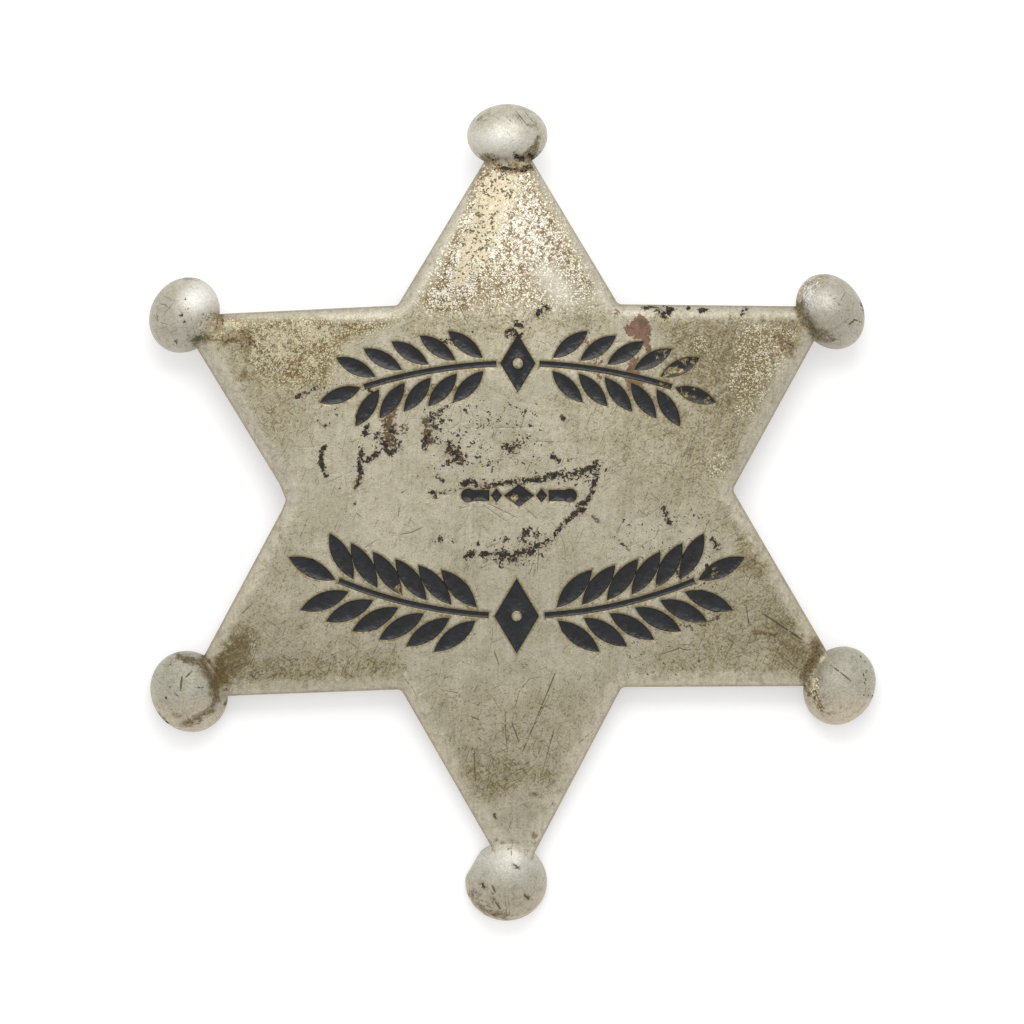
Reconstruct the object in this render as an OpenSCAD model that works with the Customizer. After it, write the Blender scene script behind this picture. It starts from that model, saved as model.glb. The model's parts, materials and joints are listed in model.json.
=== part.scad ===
// Six-pointed ball-tipped star badge, struck from nickel silver sheet, with enamelled sprays.
// Everything is drawn face up, with z = 0 on the lower edge of the rim, and is then laid on its back.

/* [Sheet] */
// Height of the face above the lower edge of the rim
depth = 2.0; // [1.6:0.1:2.4]
// Thickness of the sheet under the face
sheet = 1.1; // [0.8:0.1:1.2]
// Radius of the turned-down edge
edge_r = 1.1; // [0.6:0.1:1.3]
// Width of the rim at its lower edge
rim_w = 0.8; // [0.5:0.1:0.9]

/* [Ball tips] */
// Height of a ball tip above the lower edge of the rim
ball_high = 3.7; // [3.2:0.1:4.2]
// Thickness of the wall of a ball tip
ball_wall = 0.9; // [0.6:0.1:1.2]

/* [Enamel] */
// Depth of the recesses in the face
recess = 0.35; // [0.25:0.05:0.5]
// How far the enamel lies below the face
enamel_low = 0.08; // [0.04:0.01:0.15]
// Gap between the enamel and the wall of its recess
enamel_gap = 0.03; // [0.02:0.01:0.05]

/* [Brooch pin] */
// Height of the pin above the middle of the badge
pin_y = 8.0; // [4:0.5:12]
// Distance from the middle of the hinge block to the middle of the catch
pin_span = 24.6; // [18:0.2:30]
// Radius of the stem
stem_r = 0.45; // [0.35:0.05:0.6]
// How far the hinge block and the catch reach below the rim
pin_drop = 2.3; // [2.0:0.1:3.0]
// Thickness of the strip that lies on the back of the sheet
strip_t = 0.5; // [0.4:0.1:0.7]
// Width of the strip
strip_w = 3.5; // [3:0.5:5]

/* [Hidden] */

// The arms of the star, anticlockwise from the top: the sharp corner under the ball, the middle of the ball,
// its half sizes along and across the arm, and the notch that follows it.
arms = [
  // [corner], [ball], [half_along, half_across], [notch]
  [[-0.3, 33.5], [-0.4, 32.3], [2.7, 3.45], [-9.8, 17.7]],
  [[-28.7, 16.8], [-28.1, 16.9], [2.9, 3.35], [-19.4, 1.4]],
  [[-28.3, -15.9], [-27.7, -15.4], [3.25, 3.55], [-9.5, -15.2]],
  [[0.3, -32.3], [-0.5, -31.7], [3.35, 3.5], [9.4, -15.0]],
  [[28.7, -14.9], [28.1, -14.9], [3.0, 3.45], [18.9, 1.9]],
  [[27.5, 17.6], [27.3, 17.2], [2.75, 3.4], [9.1, 17.8]]
];
bottom_arm = arms[3];
function corner(arm) = arm[0];
function ball(arm) = arm[1];
function half_size(arm) = arm[2];
function notch(arm) = arm[3];
outline = [for (arm = arms) each [corner(arm), notch(arm)]];

// How much wider the rim is at the back of the sheet than at its lower edge
rim_flare = 0.2;
edge_steps = 4;
curve_fn = 64;
far = 40;

// The edge in section, [how far in from the outline, how high], from the back of the sheet to its face
edge_section = concat(
  [[rim_w + rim_flare, depth - sheet], [rim_w, 0], [0, 0]],
  [for (i = [0 : edge_steps]) let (turn = 90 * i / edge_steps)
    [edge_r * (1 - cos(turn)), depth - edge_r + edge_r * sin(turn)]]
);

// The two sprays of leaves, each along an arc, whose radius is negative where the arc is hollow upwards:
// [middle of the arc, its radius], [first pair, pitch, pairs], [leaf length, leaf width], [half of the lozenge]
upper_spray = [[[0.5, 12.7], 43.8], [3.0, 2.3, 5], [3.7, 1.3], [1.5, 2.5]];
lower_spray = [[[0.4, -8.9], -39.8], [3.5, 2.2, 6], [4.4, 1.5], [1.9, 3.2]];
function arc_middle(spray) = spray[0][0];
function arc_radius(spray) = spray[0][1];
function first_pair(spray) = spray[1][0];
function pitch(spray) = spray[1][1];
function pairs(spray) = spray[1][2];
function leaf_size(spray) = spray[2];
function lozenge_size(spray) = spray[3];
function stem_end(spray) = first_pair(spray) + (pairs(spray) - 0.5) * pitch(spray);
leaf_lean = 42;
leaf_clear = 0.32;
stem_w = 0.5;
stem_steps = 16;
bead_r = 0.45;

// The divider between the sprays: half sizes, and places on each side of its middle
divider_at = [0.6, 1.4];
middle_lozenge = [1.3, 0.97];
side_lozenge = [0.48, 0.6];
side_lozenge_x = 1.93;
bar_size = [1.55, 0.95];
bar_x = 3.32;
pellet_r = 0.6;
pellet_x = 4.35;

// The ends of the pin
block_r = 1.2;
block_w = 3.0;
catch_w = 2.2;
catch_t = 0.5;
strip_end = 1.5;
point_l = 2.0;
point_r = 0.08;

// The badge lies on the hinge block, the catch and the ball at its foot, which tilts it by a few degrees.
foot_y = ball(bottom_arm)[1] - half_size(bottom_arm)[0];
rest_tilt = atan(pin_drop / (pin_y - block_w / 2 - foot_y));
rest_rise = -foot_y * sin(rest_tilt);

metal_colour = [0.72, 0.69, 0.58];
pin_colour = [0.66, 0.63, 0.55];
enamel_colour = [0.05, 0.05, 0.06];

function inward(a, b) = [a[1] - b[1], b[0] - a[0]] / norm(b - a);

function inset_outline(d) = let (n = len(outline)) [
  for (i = [0 : n - 1])
    let (
      here = outline[i],
      before = inward(outline[(i + n - 1) % n], here),
      after = inward(here, outline[(i + 1) % n])
    )
    here + d * (before + after) / (1 + before * after)
];

// The star without its balls: a closed skin through one ring of points for each row of the section
module struck_star() {
  n = len(outline);
  m = len(edge_section);
  points = concat(
    [for (s = edge_section) for (p = inset_outline(s[0])) [p[0], p[1], s[1]]],
    [[0, 0, depth - sheet], [0, 0, depth]]
  );
  faces = concat(
    [for (i = [0 : n - 1]) [m * n, i, (i + 1) % n]],
    [for (k = [0 : m - 2]) for (i = [0 : n - 1]) let (j = (i + 1) % n)
      [k * n + i, (k + 1) * n + i, (k + 1) * n + j, k * n + j]],
    [for (i = [0 : n - 1]) [m * n + 1, (m - 1) * n + (i + 1) % n, (m - 1) * n + i]]
  );
  polyhedron(points = points, faces = faces);
}

// An oval ball on its arm, smaller by shrink all round
module oval_ball(arm, shrink) {
  at = ball(arm);
  half = half_size(arm);
  translate([at[0], at[1], 0])
    rotate([0, 0, atan2(at[1], at[0])])
      scale([half[0] - shrink, half[1] - shrink, ball_high - shrink])
        sphere(r = 1, $fn = curve_fn);
}

module upper_half() {
  difference() {
    children();
    translate([-far, -far, -2 * far]) cube(2 * far);
  }
}

module lozenge(half, shrink) {
  slope = norm(half);
  x = half[0] - shrink * slope / half[1];
  y = half[1] - shrink * slope / half[0];
  polygon([[x, 0], [0, y], [-x, 0], [0, -y]]);
}

// A leaf is where two round discs overlap
module leaf(size, shrink) {
  bow = (size[0] * size[0] + size[1] * size[1]) / (4 * size[1]);
  off = bow - size[1] / 2;
  intersection() {
    translate([0, off]) circle(r = bow - shrink, $fn = curve_fn);
    translate([0, -off]) circle(r = bow - shrink, $fn = curve_fn);
  }
}

// The point at a distance s along a spray's arc and off to its outer side
function arc_point(spray, s, off) = let (radius = arc_radius(spray), turn = s / radius * 180 / PI)
  arc_middle(spray) + [(radius + off) * sin(turn), (radius + off) * cos(turn) - radius];

module along_arc(spray, s) {
  translate(arc_point(spray, s, 0)) rotate(-s / arc_radius(spray) * 180 / PI) children();
}

module spray_stem(spray, side, shrink) {
  from = first_pair(spray) - pitch(spray) / 2 + shrink;
  to = stem_end(spray) - shrink;
  half = stem_w / 2 - shrink;
  stops = [for (i = [0 : stem_steps]) side * (from + (to - from) * i / stem_steps)];
  polygon(concat(
    [for (s = stops) arc_point(spray, s, half)],
    [for (i = [stem_steps : -1 : 0]) arc_point(spray, stops[i], -half)]
  ));
}

module spray_marks(spray, shrink) {
  size = leaf_size(spray);
  out = size[0] / 2 * cos(leaf_lean);
  up = stem_w / 2 + leaf_clear + size[0] / 2 * sin(leaf_lean);
  along_arc(spray, 0) difference() {
    lozenge(lozenge_size(spray), shrink);
    circle(r = bead_r + shrink, $fn = curve_fn);
  }
  for (side = [-1, 1]) {
    spray_stem(spray, side, shrink);
    for (i = [0 : pairs(spray) - 1]) for (above = [-1, 1])
      along_arc(spray, side * (first_pair(spray) + i * pitch(spray)))
        translate([side * out, above * up]) rotate(side * above * leaf_lean) leaf(size, shrink);
    along_arc(spray, side * (stem_end(spray) + leaf_clear + size[0] / 2)) leaf(size, shrink);
  }
}

module divider_marks(shrink) {
  translate(divider_at) {
    lozenge(middle_lozenge, shrink);
    for (side = [-1, 1]) {
      translate([side * side_lozenge_x, 0]) lozenge(side_lozenge, shrink);
      translate([side * bar_x, 0]) square(bar_size - 2 * [shrink, shrink], center = true);
      translate([side * pellet_x, 0]) circle(r = pellet_r - shrink, $fn = curve_fn);
    }
  }
}

module enamel() {
  translate([0, 0, depth - recess]) linear_extrude(height = recess - enamel_low) children();
}

module laid_on_its_back() {
  translate([0, 0, rest_rise]) rotate([rest_tilt, 0, 0]) children();
}

module star_plate() color(metal_colour) laid_on_its_back()
  difference() {
    union() {
      struck_star();
      for (arm = arms) upper_half() oval_ball(arm, 0);
    }
    for (arm = arms) oval_ball(arm, ball_wall);
    translate([0, 0, depth - recess]) linear_extrude(height = 2 * recess) {
      spray_marks(upper_spray, 0);
      spray_marks(lower_spray, 0);
      divider_marks(0);
    }
  }

module upper_spray_enamel() color(enamel_colour) laid_on_its_back()
  enamel() spray_marks(upper_spray, enamel_gap);

module centre_enamel() color(enamel_colour) laid_on_its_back()
  enamel() divider_marks(enamel_gap);

module lower_spray_enamel() color(enamel_colour) laid_on_its_back()
  enamel() spray_marks(lower_spray, enamel_gap);

module strip() {
  straight = pin_span + 2 * strip_end - strip_w;
  translate([-straight / 2, -strip_w / 2, 0]) cube([straight, strip_w, strip_t]);
  for (side = [-1, 1])
    translate([side * straight / 2, 0, 0]) cylinder(r = strip_w / 2, h = strip_t, $fn = curve_fn);
}

// Hinge block, rounded below, from the height of the stem up to the strip
module hinge_block(high) {
  translate([-block_r, -block_w / 2, 0]) cube([2 * block_r, block_w, high]);
  translate([0, block_w / 2, 0]) rotate([90, 0, 0]) cylinder(r = block_r, h = block_w, $fn = curve_fn);
}

// Stem along X from its point, past the catch, to the hinge block
module stem() {
  rotate([0, 90, 0]) {
    cylinder(r1 = point_r, r2 = stem_r, h = point_l, $fn = curve_fn);
    translate([0, 0, point_l]) cylinder(r = stem_r, h = pin_span + catch_w / 2, $fn = curve_fn);
  }
}

// A hook round the stem, hung from the strip on one side and open on the other
module catch(high) {
  difference() {
    union() {
      rotate([0, 90, 0]) cylinder(r = block_r, h = catch_w, $fn = curve_fn);
      translate([0, -block_r, 0]) cube([catch_w, catch_t, high]);
    }
    translate([-catch_w, 0, 0]) rotate([0, 90, 0])
      cylinder(r = block_r - catch_t, h = 3 * catch_w, $fn = curve_fn);
    translate([-catch_w, catch_t - block_r, 0]) cube([3 * catch_w, 2 * block_r, 2 * high]);
  }
}

module brooch_pin() color(pin_colour) laid_on_its_back() {
  strip_z = depth - sheet - strip_t;
  stem_z = block_r - pin_drop;
  high = strip_z - stem_z;
  translate([0, pin_y, strip_z]) strip();
  translate([pin_span / 2, pin_y, stem_z]) hinge_block(high);
  translate([-pin_span / 2 - catch_w / 2, pin_y, stem_z]) {
    catch(high);
    translate([-point_l, 0, 0]) stem();
  }
}

star_plate();
upper_spray_enamel();
centre_enamel();
lower_spray_enamel();
brooch_pin();
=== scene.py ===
import json
import math
import bpy
import numpy as np
from mathutils import Matrix, Vector
from mathutils.geometry import delaunay_2d_cdt
from mathutils.kdtree import KDTree


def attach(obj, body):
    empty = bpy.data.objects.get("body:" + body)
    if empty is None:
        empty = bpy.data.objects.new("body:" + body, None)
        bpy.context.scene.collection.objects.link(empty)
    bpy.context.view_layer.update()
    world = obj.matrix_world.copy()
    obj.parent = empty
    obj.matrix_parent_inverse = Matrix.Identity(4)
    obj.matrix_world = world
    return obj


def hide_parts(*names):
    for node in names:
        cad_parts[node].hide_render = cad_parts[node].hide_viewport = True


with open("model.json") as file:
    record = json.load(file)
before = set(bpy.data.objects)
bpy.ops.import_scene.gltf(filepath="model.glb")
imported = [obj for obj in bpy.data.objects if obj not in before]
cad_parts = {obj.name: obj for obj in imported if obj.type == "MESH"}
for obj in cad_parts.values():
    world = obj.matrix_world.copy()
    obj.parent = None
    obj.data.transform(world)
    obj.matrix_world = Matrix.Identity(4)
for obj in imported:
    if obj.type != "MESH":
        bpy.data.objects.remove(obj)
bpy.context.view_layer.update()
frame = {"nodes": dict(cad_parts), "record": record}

# Sizes in millimetres, on the badge laid face up with z = 0 on the lower edge of its rim
DEPTH = 2.0
SHEET = 1.1
EDGE_R = 1.1
RIM_W = 0.8
RIM_FLARE = 0.2
BALL_HIGH = 3.7
BALL_WALL = 0.9
BALL_SKIRT = 0.3
RECESS = 0.35
ENAMEL_LOW = 0.08
ENAMEL_GAP = 0.03
PIN_Y = 8.0
PIN_STEM_Z = -1.1
MM = 0.001

# The arms anticlockwise from the top: the corner under the ball, the middle of the ball,
# its half sizes along and across the arm, and the points of the notch that follows it
ARMS = [
    ((-0.3, 33.5), (-0.4, 32.3), (2.7, 3.45), [(-9.8, 17.7)]),
    ((-28.7, 16.8), (-28.1, 16.9), (2.9, 3.35), [(-19.95, 2.45), (-19.35, 1.05), (-19.75, 0.1)]),
    ((-28.3, -15.9), (-27.7, -15.4), (3.25, 3.55), [(-9.5, -15.2)]),
    ((0.3, -32.3), (-0.5, -31.7), (3.35, 3.5), [(9.4, -15.0)]),
    ((28.7, -14.9), (28.1, -14.9), (3.0, 3.45), [(18.9, 1.9)]),
    ((27.5, 17.6), (27.3, 17.2), (2.75, 3.4), [(9.1, 17.8)]),
]
NOTCH_R = 0.55

# Sides of balls that a knock has flattened: the arm, which way the side faces in degrees, how far out it lies
FLAT_SIDES = [
    (3, 150.0, 3.22),
]

# Sprays of leaves: the middle of their arc and its radius, which is negative where the arc is hollow upwards,
# the first pair, the pitch and the count of pairs, the leaf's length and width, and half of the lozenge
UPPER_SPRAY = dict(middle=(0.5, 12.7), radius=43.8, first=3.0, pitch=2.3, pairs=5,
                   leaf=(3.7, 1.3), lozenge=(1.5, 2.5))
LOWER_SPRAY = dict(middle=(0.4, -8.9), radius=-39.8, first=3.5, pitch=2.2, pairs=6,
                   leaf=(4.4, 1.5), lozenge=(1.9, 3.2))
LEAF_LEAN = math.radians(42)
LEAF_CLEAR = 0.32
STEM_W = 0.5
BEAD_R = 0.45

# The divider between the sprays: half sizes, and places on each side of its middle
DIVIDER_AT = (0.6, 1.4)
MIDDLE_LOZENGE = (1.3, 0.97)
SIDE_LOZENGE = (0.48, 0.6)
SIDE_LOZENGE_X = 1.93
BAR_SIZE = (1.55, 0.95)
BAR_X = 3.32
PELLET_R = 0.6
PELLET_X = 4.35

# Wear is charted in the pixels of the photograph, which is square to the face.
# A row ends with the corners of its patch or the points of its line, each as x and y
PHOTO_PIXEL = 0.08568
PHOTO_MIDDLE = 511.5

# Bright plating that is left: how much, how soft its edge, corners
PLATING = [
    (1.0, 12, [(480, 168), (532, 170), (522, 205), (508, 235),
         (489, 266), (462, 292), (442, 290), (454, 256)]),
    (0.8, 8, [(520, 174), (534, 190), (561, 240), (563, 266), (512, 272), (503, 240), (511, 206)]),
    (0.58, 10, [(550, 220), (566, 240), (598, 290), (574, 300), (556, 276)]),
    (0.92, 9, [(516, 210), (552, 212), (558, 256), (520, 258)]),
    (0.44, 12, [(484, 176), (538, 176), (602, 290), (560, 304), (470, 308), (416, 302)]),
    (0.14, 16, [(440, 280), (590, 280), (612, 314), (560, 326), (400, 326), (410, 300)]),
    (0.72, 8, [(436, 284), (462, 264), (484, 280), (470, 310), (428, 312), (422, 300)]),
    (0.76, 8, [(462, 214), (476, 196), (474, 240), (456, 276), (440, 280)]),
    (0.64, 8, [(496, 246), (530, 246), (540, 264), (520, 296), (500, 296), (490, 276)]),
    (0.6, 7, [(226, 316), (256, 318), (262, 334), (236, 334)]),
    (1.05, 4, [(203, 320), (212, 312), (223, 318), (223, 340), (211, 340), (201, 332)]),
    (0.9, 4, [(800, 290), (806, 282), (818, 280), (812, 300), (808, 308), (802, 304)]),
    (0.8, 9, [(250, 320), (320, 318), (346, 326), (330, 344), (300, 352), (262, 350)]),
    (0.56, 9, [(300, 320), (404, 320), (366, 336), (310, 352)]),
    (0.88, 6, [(250, 330), (298, 336), (290, 376), (262, 376), (252, 356)]),
    (0.56, 12, [(258, 324), (350, 330), (326, 386), (276, 386)]),
    (0.38, 9, [(740, 322), (796, 330), (782, 362), (754, 412), (738, 416), (728, 380), (736, 350)]),
    (0.46, 6, [(748, 340), (772, 334), (772, 356), (756, 398), (742, 398), (744, 366)]),
    (0.1, 14, [(668, 330), (745, 330), (736, 400), (706, 400)]),
    (0.24, 12, [(706, 450), (728, 454), (726, 482), (706, 478)]),
    (0.42, 5, [(693, 337), (706, 337), (705, 350), (692, 350)]),
    (1.05, 3, [(806, 676), (813, 674), (816, 684), (814, 692), (809, 691)]),
    (0.6, 3, [(811, 692), (816, 693), (821, 704), (821, 709), (816, 708), (812, 700)]),
]

# Olive tarnish: how much, how soft its edge, corners
TARNISH = [
    (0.55, 14, [(222, 328), (256, 328), (256, 352), (232, 356)]),
    (0.55, 12, [(232, 368), (268, 368), (270, 386), (240, 390)]),
    (0.45, 22, [(246, 384), (310, 384), (300, 440), (266, 440)]),
    (0.5, 26, [(222, 324), (350, 324), (320, 400), (262, 410)]),
    (0.8, 26, [(656, 312), (800, 316), (740, 430), (700, 420)]),
    (0.55, 26, [(640, 396), (745, 404), (735, 500), (690, 490)]),
    (0.3, 40, [(560, 400), (700, 400), (720, 520), (600, 480)]),
    (0.6, 6, [(797, 290), (806, 280), (828, 276), (824, 292), (808, 300), (804, 322), (797, 316)]),
    (1.05, 14, [(216, 676), (218, 654), (228, 632), (244, 622), (260, 638), (254, 664), (236, 680)]),
    (1.3, 5, [(213, 690), (213, 668), (222, 652), (228, 664), (226, 688)]),
    (0.85, 6, [(778, 320), (802, 317), (806, 332), (797, 344), (784, 358), (772, 348)]),
    (0.7, 12, [(240, 684), (240, 662), (320, 662), (320, 684)]),
    (0.6, 5, [(200, 322), (214, 312), (223, 316), (223, 342), (208, 342)]),
    (0.62, 14, [(236, 686), (240, 656), (300, 648), (400, 656), (400, 686)]),
    (0.3, 30, [(230, 650), (300, 600), (400, 640), (400, 686), (240, 686)]),
    (0.5, 12, [(290, 618), (306, 620), (304, 640), (292, 640)]),
    (0.85, 10, [(732, 526), (756, 530), (774, 560), (764, 588), (738, 570)]),
    (0.8, 16, [(757, 618), (790, 606), (826, 650), (812, 680), (770, 676)]),
    (0.5, 30, [(700, 600), (780, 560), (826, 650), (812, 684), (640, 684)]),
    (0.4, 20, [(694, 496), (734, 498), (736, 536), (700, 530)]),
    (0.6, 8, [(456, 764), (500, 752), (556, 770), (556, 788), (520, 786), (500, 800), (470, 800)]),
    (0.3, 26, [(430, 690), (600, 690), (560, 790), (460, 790)]),
    (0.4, 20, [(400, 306), (470, 296), (560, 300), (620, 312), (600, 336), (400, 340)]),
    (0.25, 30, [(230, 470), (300, 520), (280, 640), (220, 650)]),
    (0.28, 20, [(486, 276), (600, 300), (600, 330), (420, 330)]),
]

# Dirt in the creases of the balls, with painted shade where the necks of the balls meet the arms: how much,
# half width, line
GRIME_AND_SHADE = [
    (0.75, 9, [(484, 158), (494, 164), (512, 168), (526, 162), (534, 154)]),
    (0.8, 4, [(519, 158), (530, 158)]), (0.8, 6, [(497, 168), (512, 171), (530, 167)]),
    (0.7, 8, [(196, 342), (206, 340), (216, 330), (221, 318)]), (0.6, 10, [(226, 340), (244, 334)]),
    (0.55, 5, [(250, 334), (247, 356), (243, 380)]),
    (0.9, 6, [(178, 655), (190, 659), (202, 663), (210, 674), (216, 688), (216, 700)]),
    (0.7, 6, [(216, 700), (210, 709), (201, 717), (184, 722)]),
    (0.6, 9, [(214, 680), (220, 660), (236, 640)]), (0.95, 4, [(226, 703), (232, 696)]),
    (0.95, 8, [(814, 642), (818, 650), (810, 662), (803, 676)]),
    (0.9, 2, [(804, 674), (803, 684), (808, 694)]), (0.6, 7, [(220, 660), (225, 674), (227, 690)]),
    (0.95, 4.5, [(203, 656), (212, 665), (220, 677)]),
    (0.75, 6, [(797, 304), (800, 320), (812, 334), (831, 339)]), (0.62, 9, [(777, 336), (790, 352)]),
    (0.45, 4, [(490, 840), (512, 840), (534, 843)]),
    (0.45, 3, [(517, 117), (524, 124), (532, 128), (537, 136)]),
    (0.85, 4, [(537, 138), (535, 146), (526, 155)]), (0.3, 6, [(530, 122), (538, 132)]),
    (0.6, 6, [(470, 890), (476, 902), (488, 911), (504, 916)]),
    (0.3, 6, [(480, 882), (492, 893), (500, 908)]), (0.4, 4, [(524, 892), (533, 898)]),
    (0.7, 7, [(800, 304), (803, 318), (811, 328), (828, 337)]),
    (0.4, 3, [(806, 284), (816, 278), (828, 276)]), (0.55, 3, [(185, 279), (198, 278)]),
    (0.3, 8, [(472, 886), (480, 900), (492, 910), (508, 914)]),
    (0.9, 3, [(751, 631), (763, 632), (777, 636)]), (0.5, 2, [(512, 844), (508, 848)]),
    (0.5, 3, [(512, 863), (519, 866)]), (0.3, 8, [(818, 698), (826, 714)]),
    (0.35, 5, [(176, 712), (190, 722), (206, 718)]), (0.35, 4, [(488, 112), (478, 122)]),
    (0.4, 3, [(486, 121)]), (0.6, 6, [(786, 341), (793, 348)]), (0.8, 4, [(494, 814)]),
    (1.0, 4, [(534, 834)]), (0.6, 4, [(531, 793), (541, 794)]), (0.35, 8, [(232, 652), (252, 632)]),
]

# Black corrosion: how much, half width, line
BLACK = [
    (1.0, 4, [(515, 156), (522, 159)]), (0.9, 4, [(530, 156), (533, 158)]),
    (0.85, 4, [(500, 167), (507, 171), (514, 169)]), (0.75, 4, [(520, 171), (529, 167)]),
    (0.7, 3, [(493, 160)]), (0.7, 4, [(862, 303), (865, 313)]), (0.45, 3, [(861, 693), (868, 694)]),
    (0.35, 3, [(185, 279), (196, 277)]), (1.0, 2.6, [(182, 316)]), (1.0, 2.6, [(186, 323)]),
    (0.8, 2.4, [(189, 310)]), (0.8, 2.4, [(186, 301)]), (0.85, 2.6, [(177, 342)]), (0.7, 2.6, [(190, 336)]),
    (0.75, 2, [(172, 665)]), (0.75, 2, [(171, 686)]), (0.65, 2, [(167, 696)]), (0.65, 2, [(172, 709)]),
    (0.55, 2, [(200, 686), (204, 686)]), (0.5, 3, [(160, 712), (167, 723)]), (0.7, 2, [(837, 305)]),
    (0.6, 2, [(828, 296)]), (0.6, 2, [(845, 311)]), (0.75, 2, [(859, 656)]), (0.75, 2, [(864, 660)]),
    (0.75, 2, [(868, 669), (864, 671)]), (0.7, 3, [(871, 696)]), (0.6, 2, [(482, 882), (484, 885)]),
    (0.6, 2, [(489, 896), (493, 899)]), (1.0, 4, [(297, 397), (303, 394)]),
    (0.55, 3, [(303, 394), (312, 390), (326, 382)]), (0.35, 3, [(317, 402), (330, 394)]),
    (0.85, 3, [(324, 426), (329, 424)]), (1.0, 3.5, [(325, 446), (321, 452), (321, 463)]),
    (0.95, 3.5, [(322, 465), (326, 475)]), (1.05, 4.5, [(362, 449), (360, 463), (361, 474)]),
    (1.0, 4.5, [(361, 474), (355, 486)]), (1.0, 4.5, [(367, 461), (377, 453)]),
    (1.0, 5, [(384, 444), (390, 453), (396, 446)]), (0.8, 4.5, [(376, 434), (384, 444)]),
    (0.85, 4, [(395, 425), (391, 432)]), (0.9, 4, [(363, 434), (368, 426)]),
    (0.6, 4, [(369, 389), (371, 400), (368, 410)]), (0.8, 4, [(423, 440), (425, 449)]),
    (0.7, 4.5, [(433, 416), (446, 408)]), (0.85, 4, [(438, 476), (441, 480)]),
    (1.0, 4, [(431, 492), (434, 495)]), (0.35, 4, [(434, 494), (461, 489)]),
    (1.0, 4.5, [(463, 484), (470, 480), (478, 486)]), (0.95, 4.5, [(484, 486), (494, 484), (506, 482)]),
    (0.9, 4.5, [(508, 483), (524, 480), (538, 479)]), (0.95, 4.5, [(538, 481), (548, 475), (562, 474)]),
    (0.75, 4, [(452, 452), (458, 456)]), (0.6, 4, [(448, 460), (462, 462)]),
    (0.95, 4, [(508, 448), (514, 444)]), (1.0, 4.5, [(562, 476), (580, 472), (592, 466)]),
    (1.0, 4.5, [(591, 470), (596, 462)]), (0.85, 4, [(596, 468), (595, 480), (592, 490), (588, 500)]),
    (0.9, 4.5, [(578, 505), (588, 501)]), (1.0, 4.5, [(574, 514), (583, 509)]),
    (0.8, 4, [(572, 515), (560, 527), (551, 538)]), (0.85, 4.5, [(536, 547), (547, 541)]),
    (0.3, 4.5, [(585, 511), (601, 523), (612, 536), (628, 549)]), (1.0, 4.5, [(519, 537), (527, 530)]),
    (0.85, 4.5, [(505, 539)]), (0.85, 4, [(536, 533), (537, 537)]), (1.0, 5, [(466, 556), (474, 552)]),
    (0.9, 4, [(480, 553), (489, 553)]), (1.0, 6, [(497, 553), (510, 558), (520, 552), (531, 551)]),
    (0.9, 4, [(501, 565)]), (0.5, 4, [(516, 564)]), (0.85, 4, [(561, 417), (563, 419)]),
    (0.95, 4.5, [(552, 455), (557, 460)]), (0.8, 4, [(569, 460)]), (0.75, 4, [(606, 469)]),
    (0.8, 4, [(440, 538), (441, 541)]), (0.8, 3, [(453, 539), (454, 541)]), (0.8, 3, [(478, 543)]),
    (0.6, 3, [(403, 493)]), (0.6, 3, [(418, 477)]), (0.6, 3, [(339, 488)]), (0.6, 3, [(355, 503)]),
    (0.55, 3, [(376, 505)]), (0.75, 4, [(643, 307), (650, 307)]),
    (1.0, 6, [(657, 310), (664, 315), (669, 310)]), (0.8, 4, [(687, 308)]),
    (0.7, 4, [(697, 310), (706, 311)]), (0.75, 4, [(741, 313), (745, 308)]),
    (0.35, 4, [(786, 342), (792, 347)]), (0.85, 4, [(663, 508), (666, 513)]),
    (0.85, 4, [(666, 518), (668, 522)]), (0.75, 4, [(712, 539), (717, 545), (715, 550)]),
    (0.75, 4, [(704, 577)]), (0.6, 3, [(676, 571), (679, 580)]), (1.0, 4.5, [(544, 307), (548, 309)]),
    (1.0, 4.5, [(537, 314), (541, 311)]), (1.0, 4.5, [(515, 323), (519, 326)]),
    (0.95, 4.5, [(507, 331), (514, 331)]), (0.95, 4.5, [(508, 336), (520, 334)]),
    (0.5, 3, [(484, 327), (494, 327)]), (0.75, 5, [(443, 341), (456, 341)]),
    (0.55, 4, [(494, 814), (495, 816)]), (0.55, 3, [(534, 834)]), (0.6, 3, [(478, 703)]),
    (0.5, 3, [(553, 804)]),
]

# The specks scattered beside the black reach this many times as far
SPATTER_REACH = 2.2
SPATTER = [(much, SPATTER_REACH * half, line) for much, half, line in BLACK]

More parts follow.
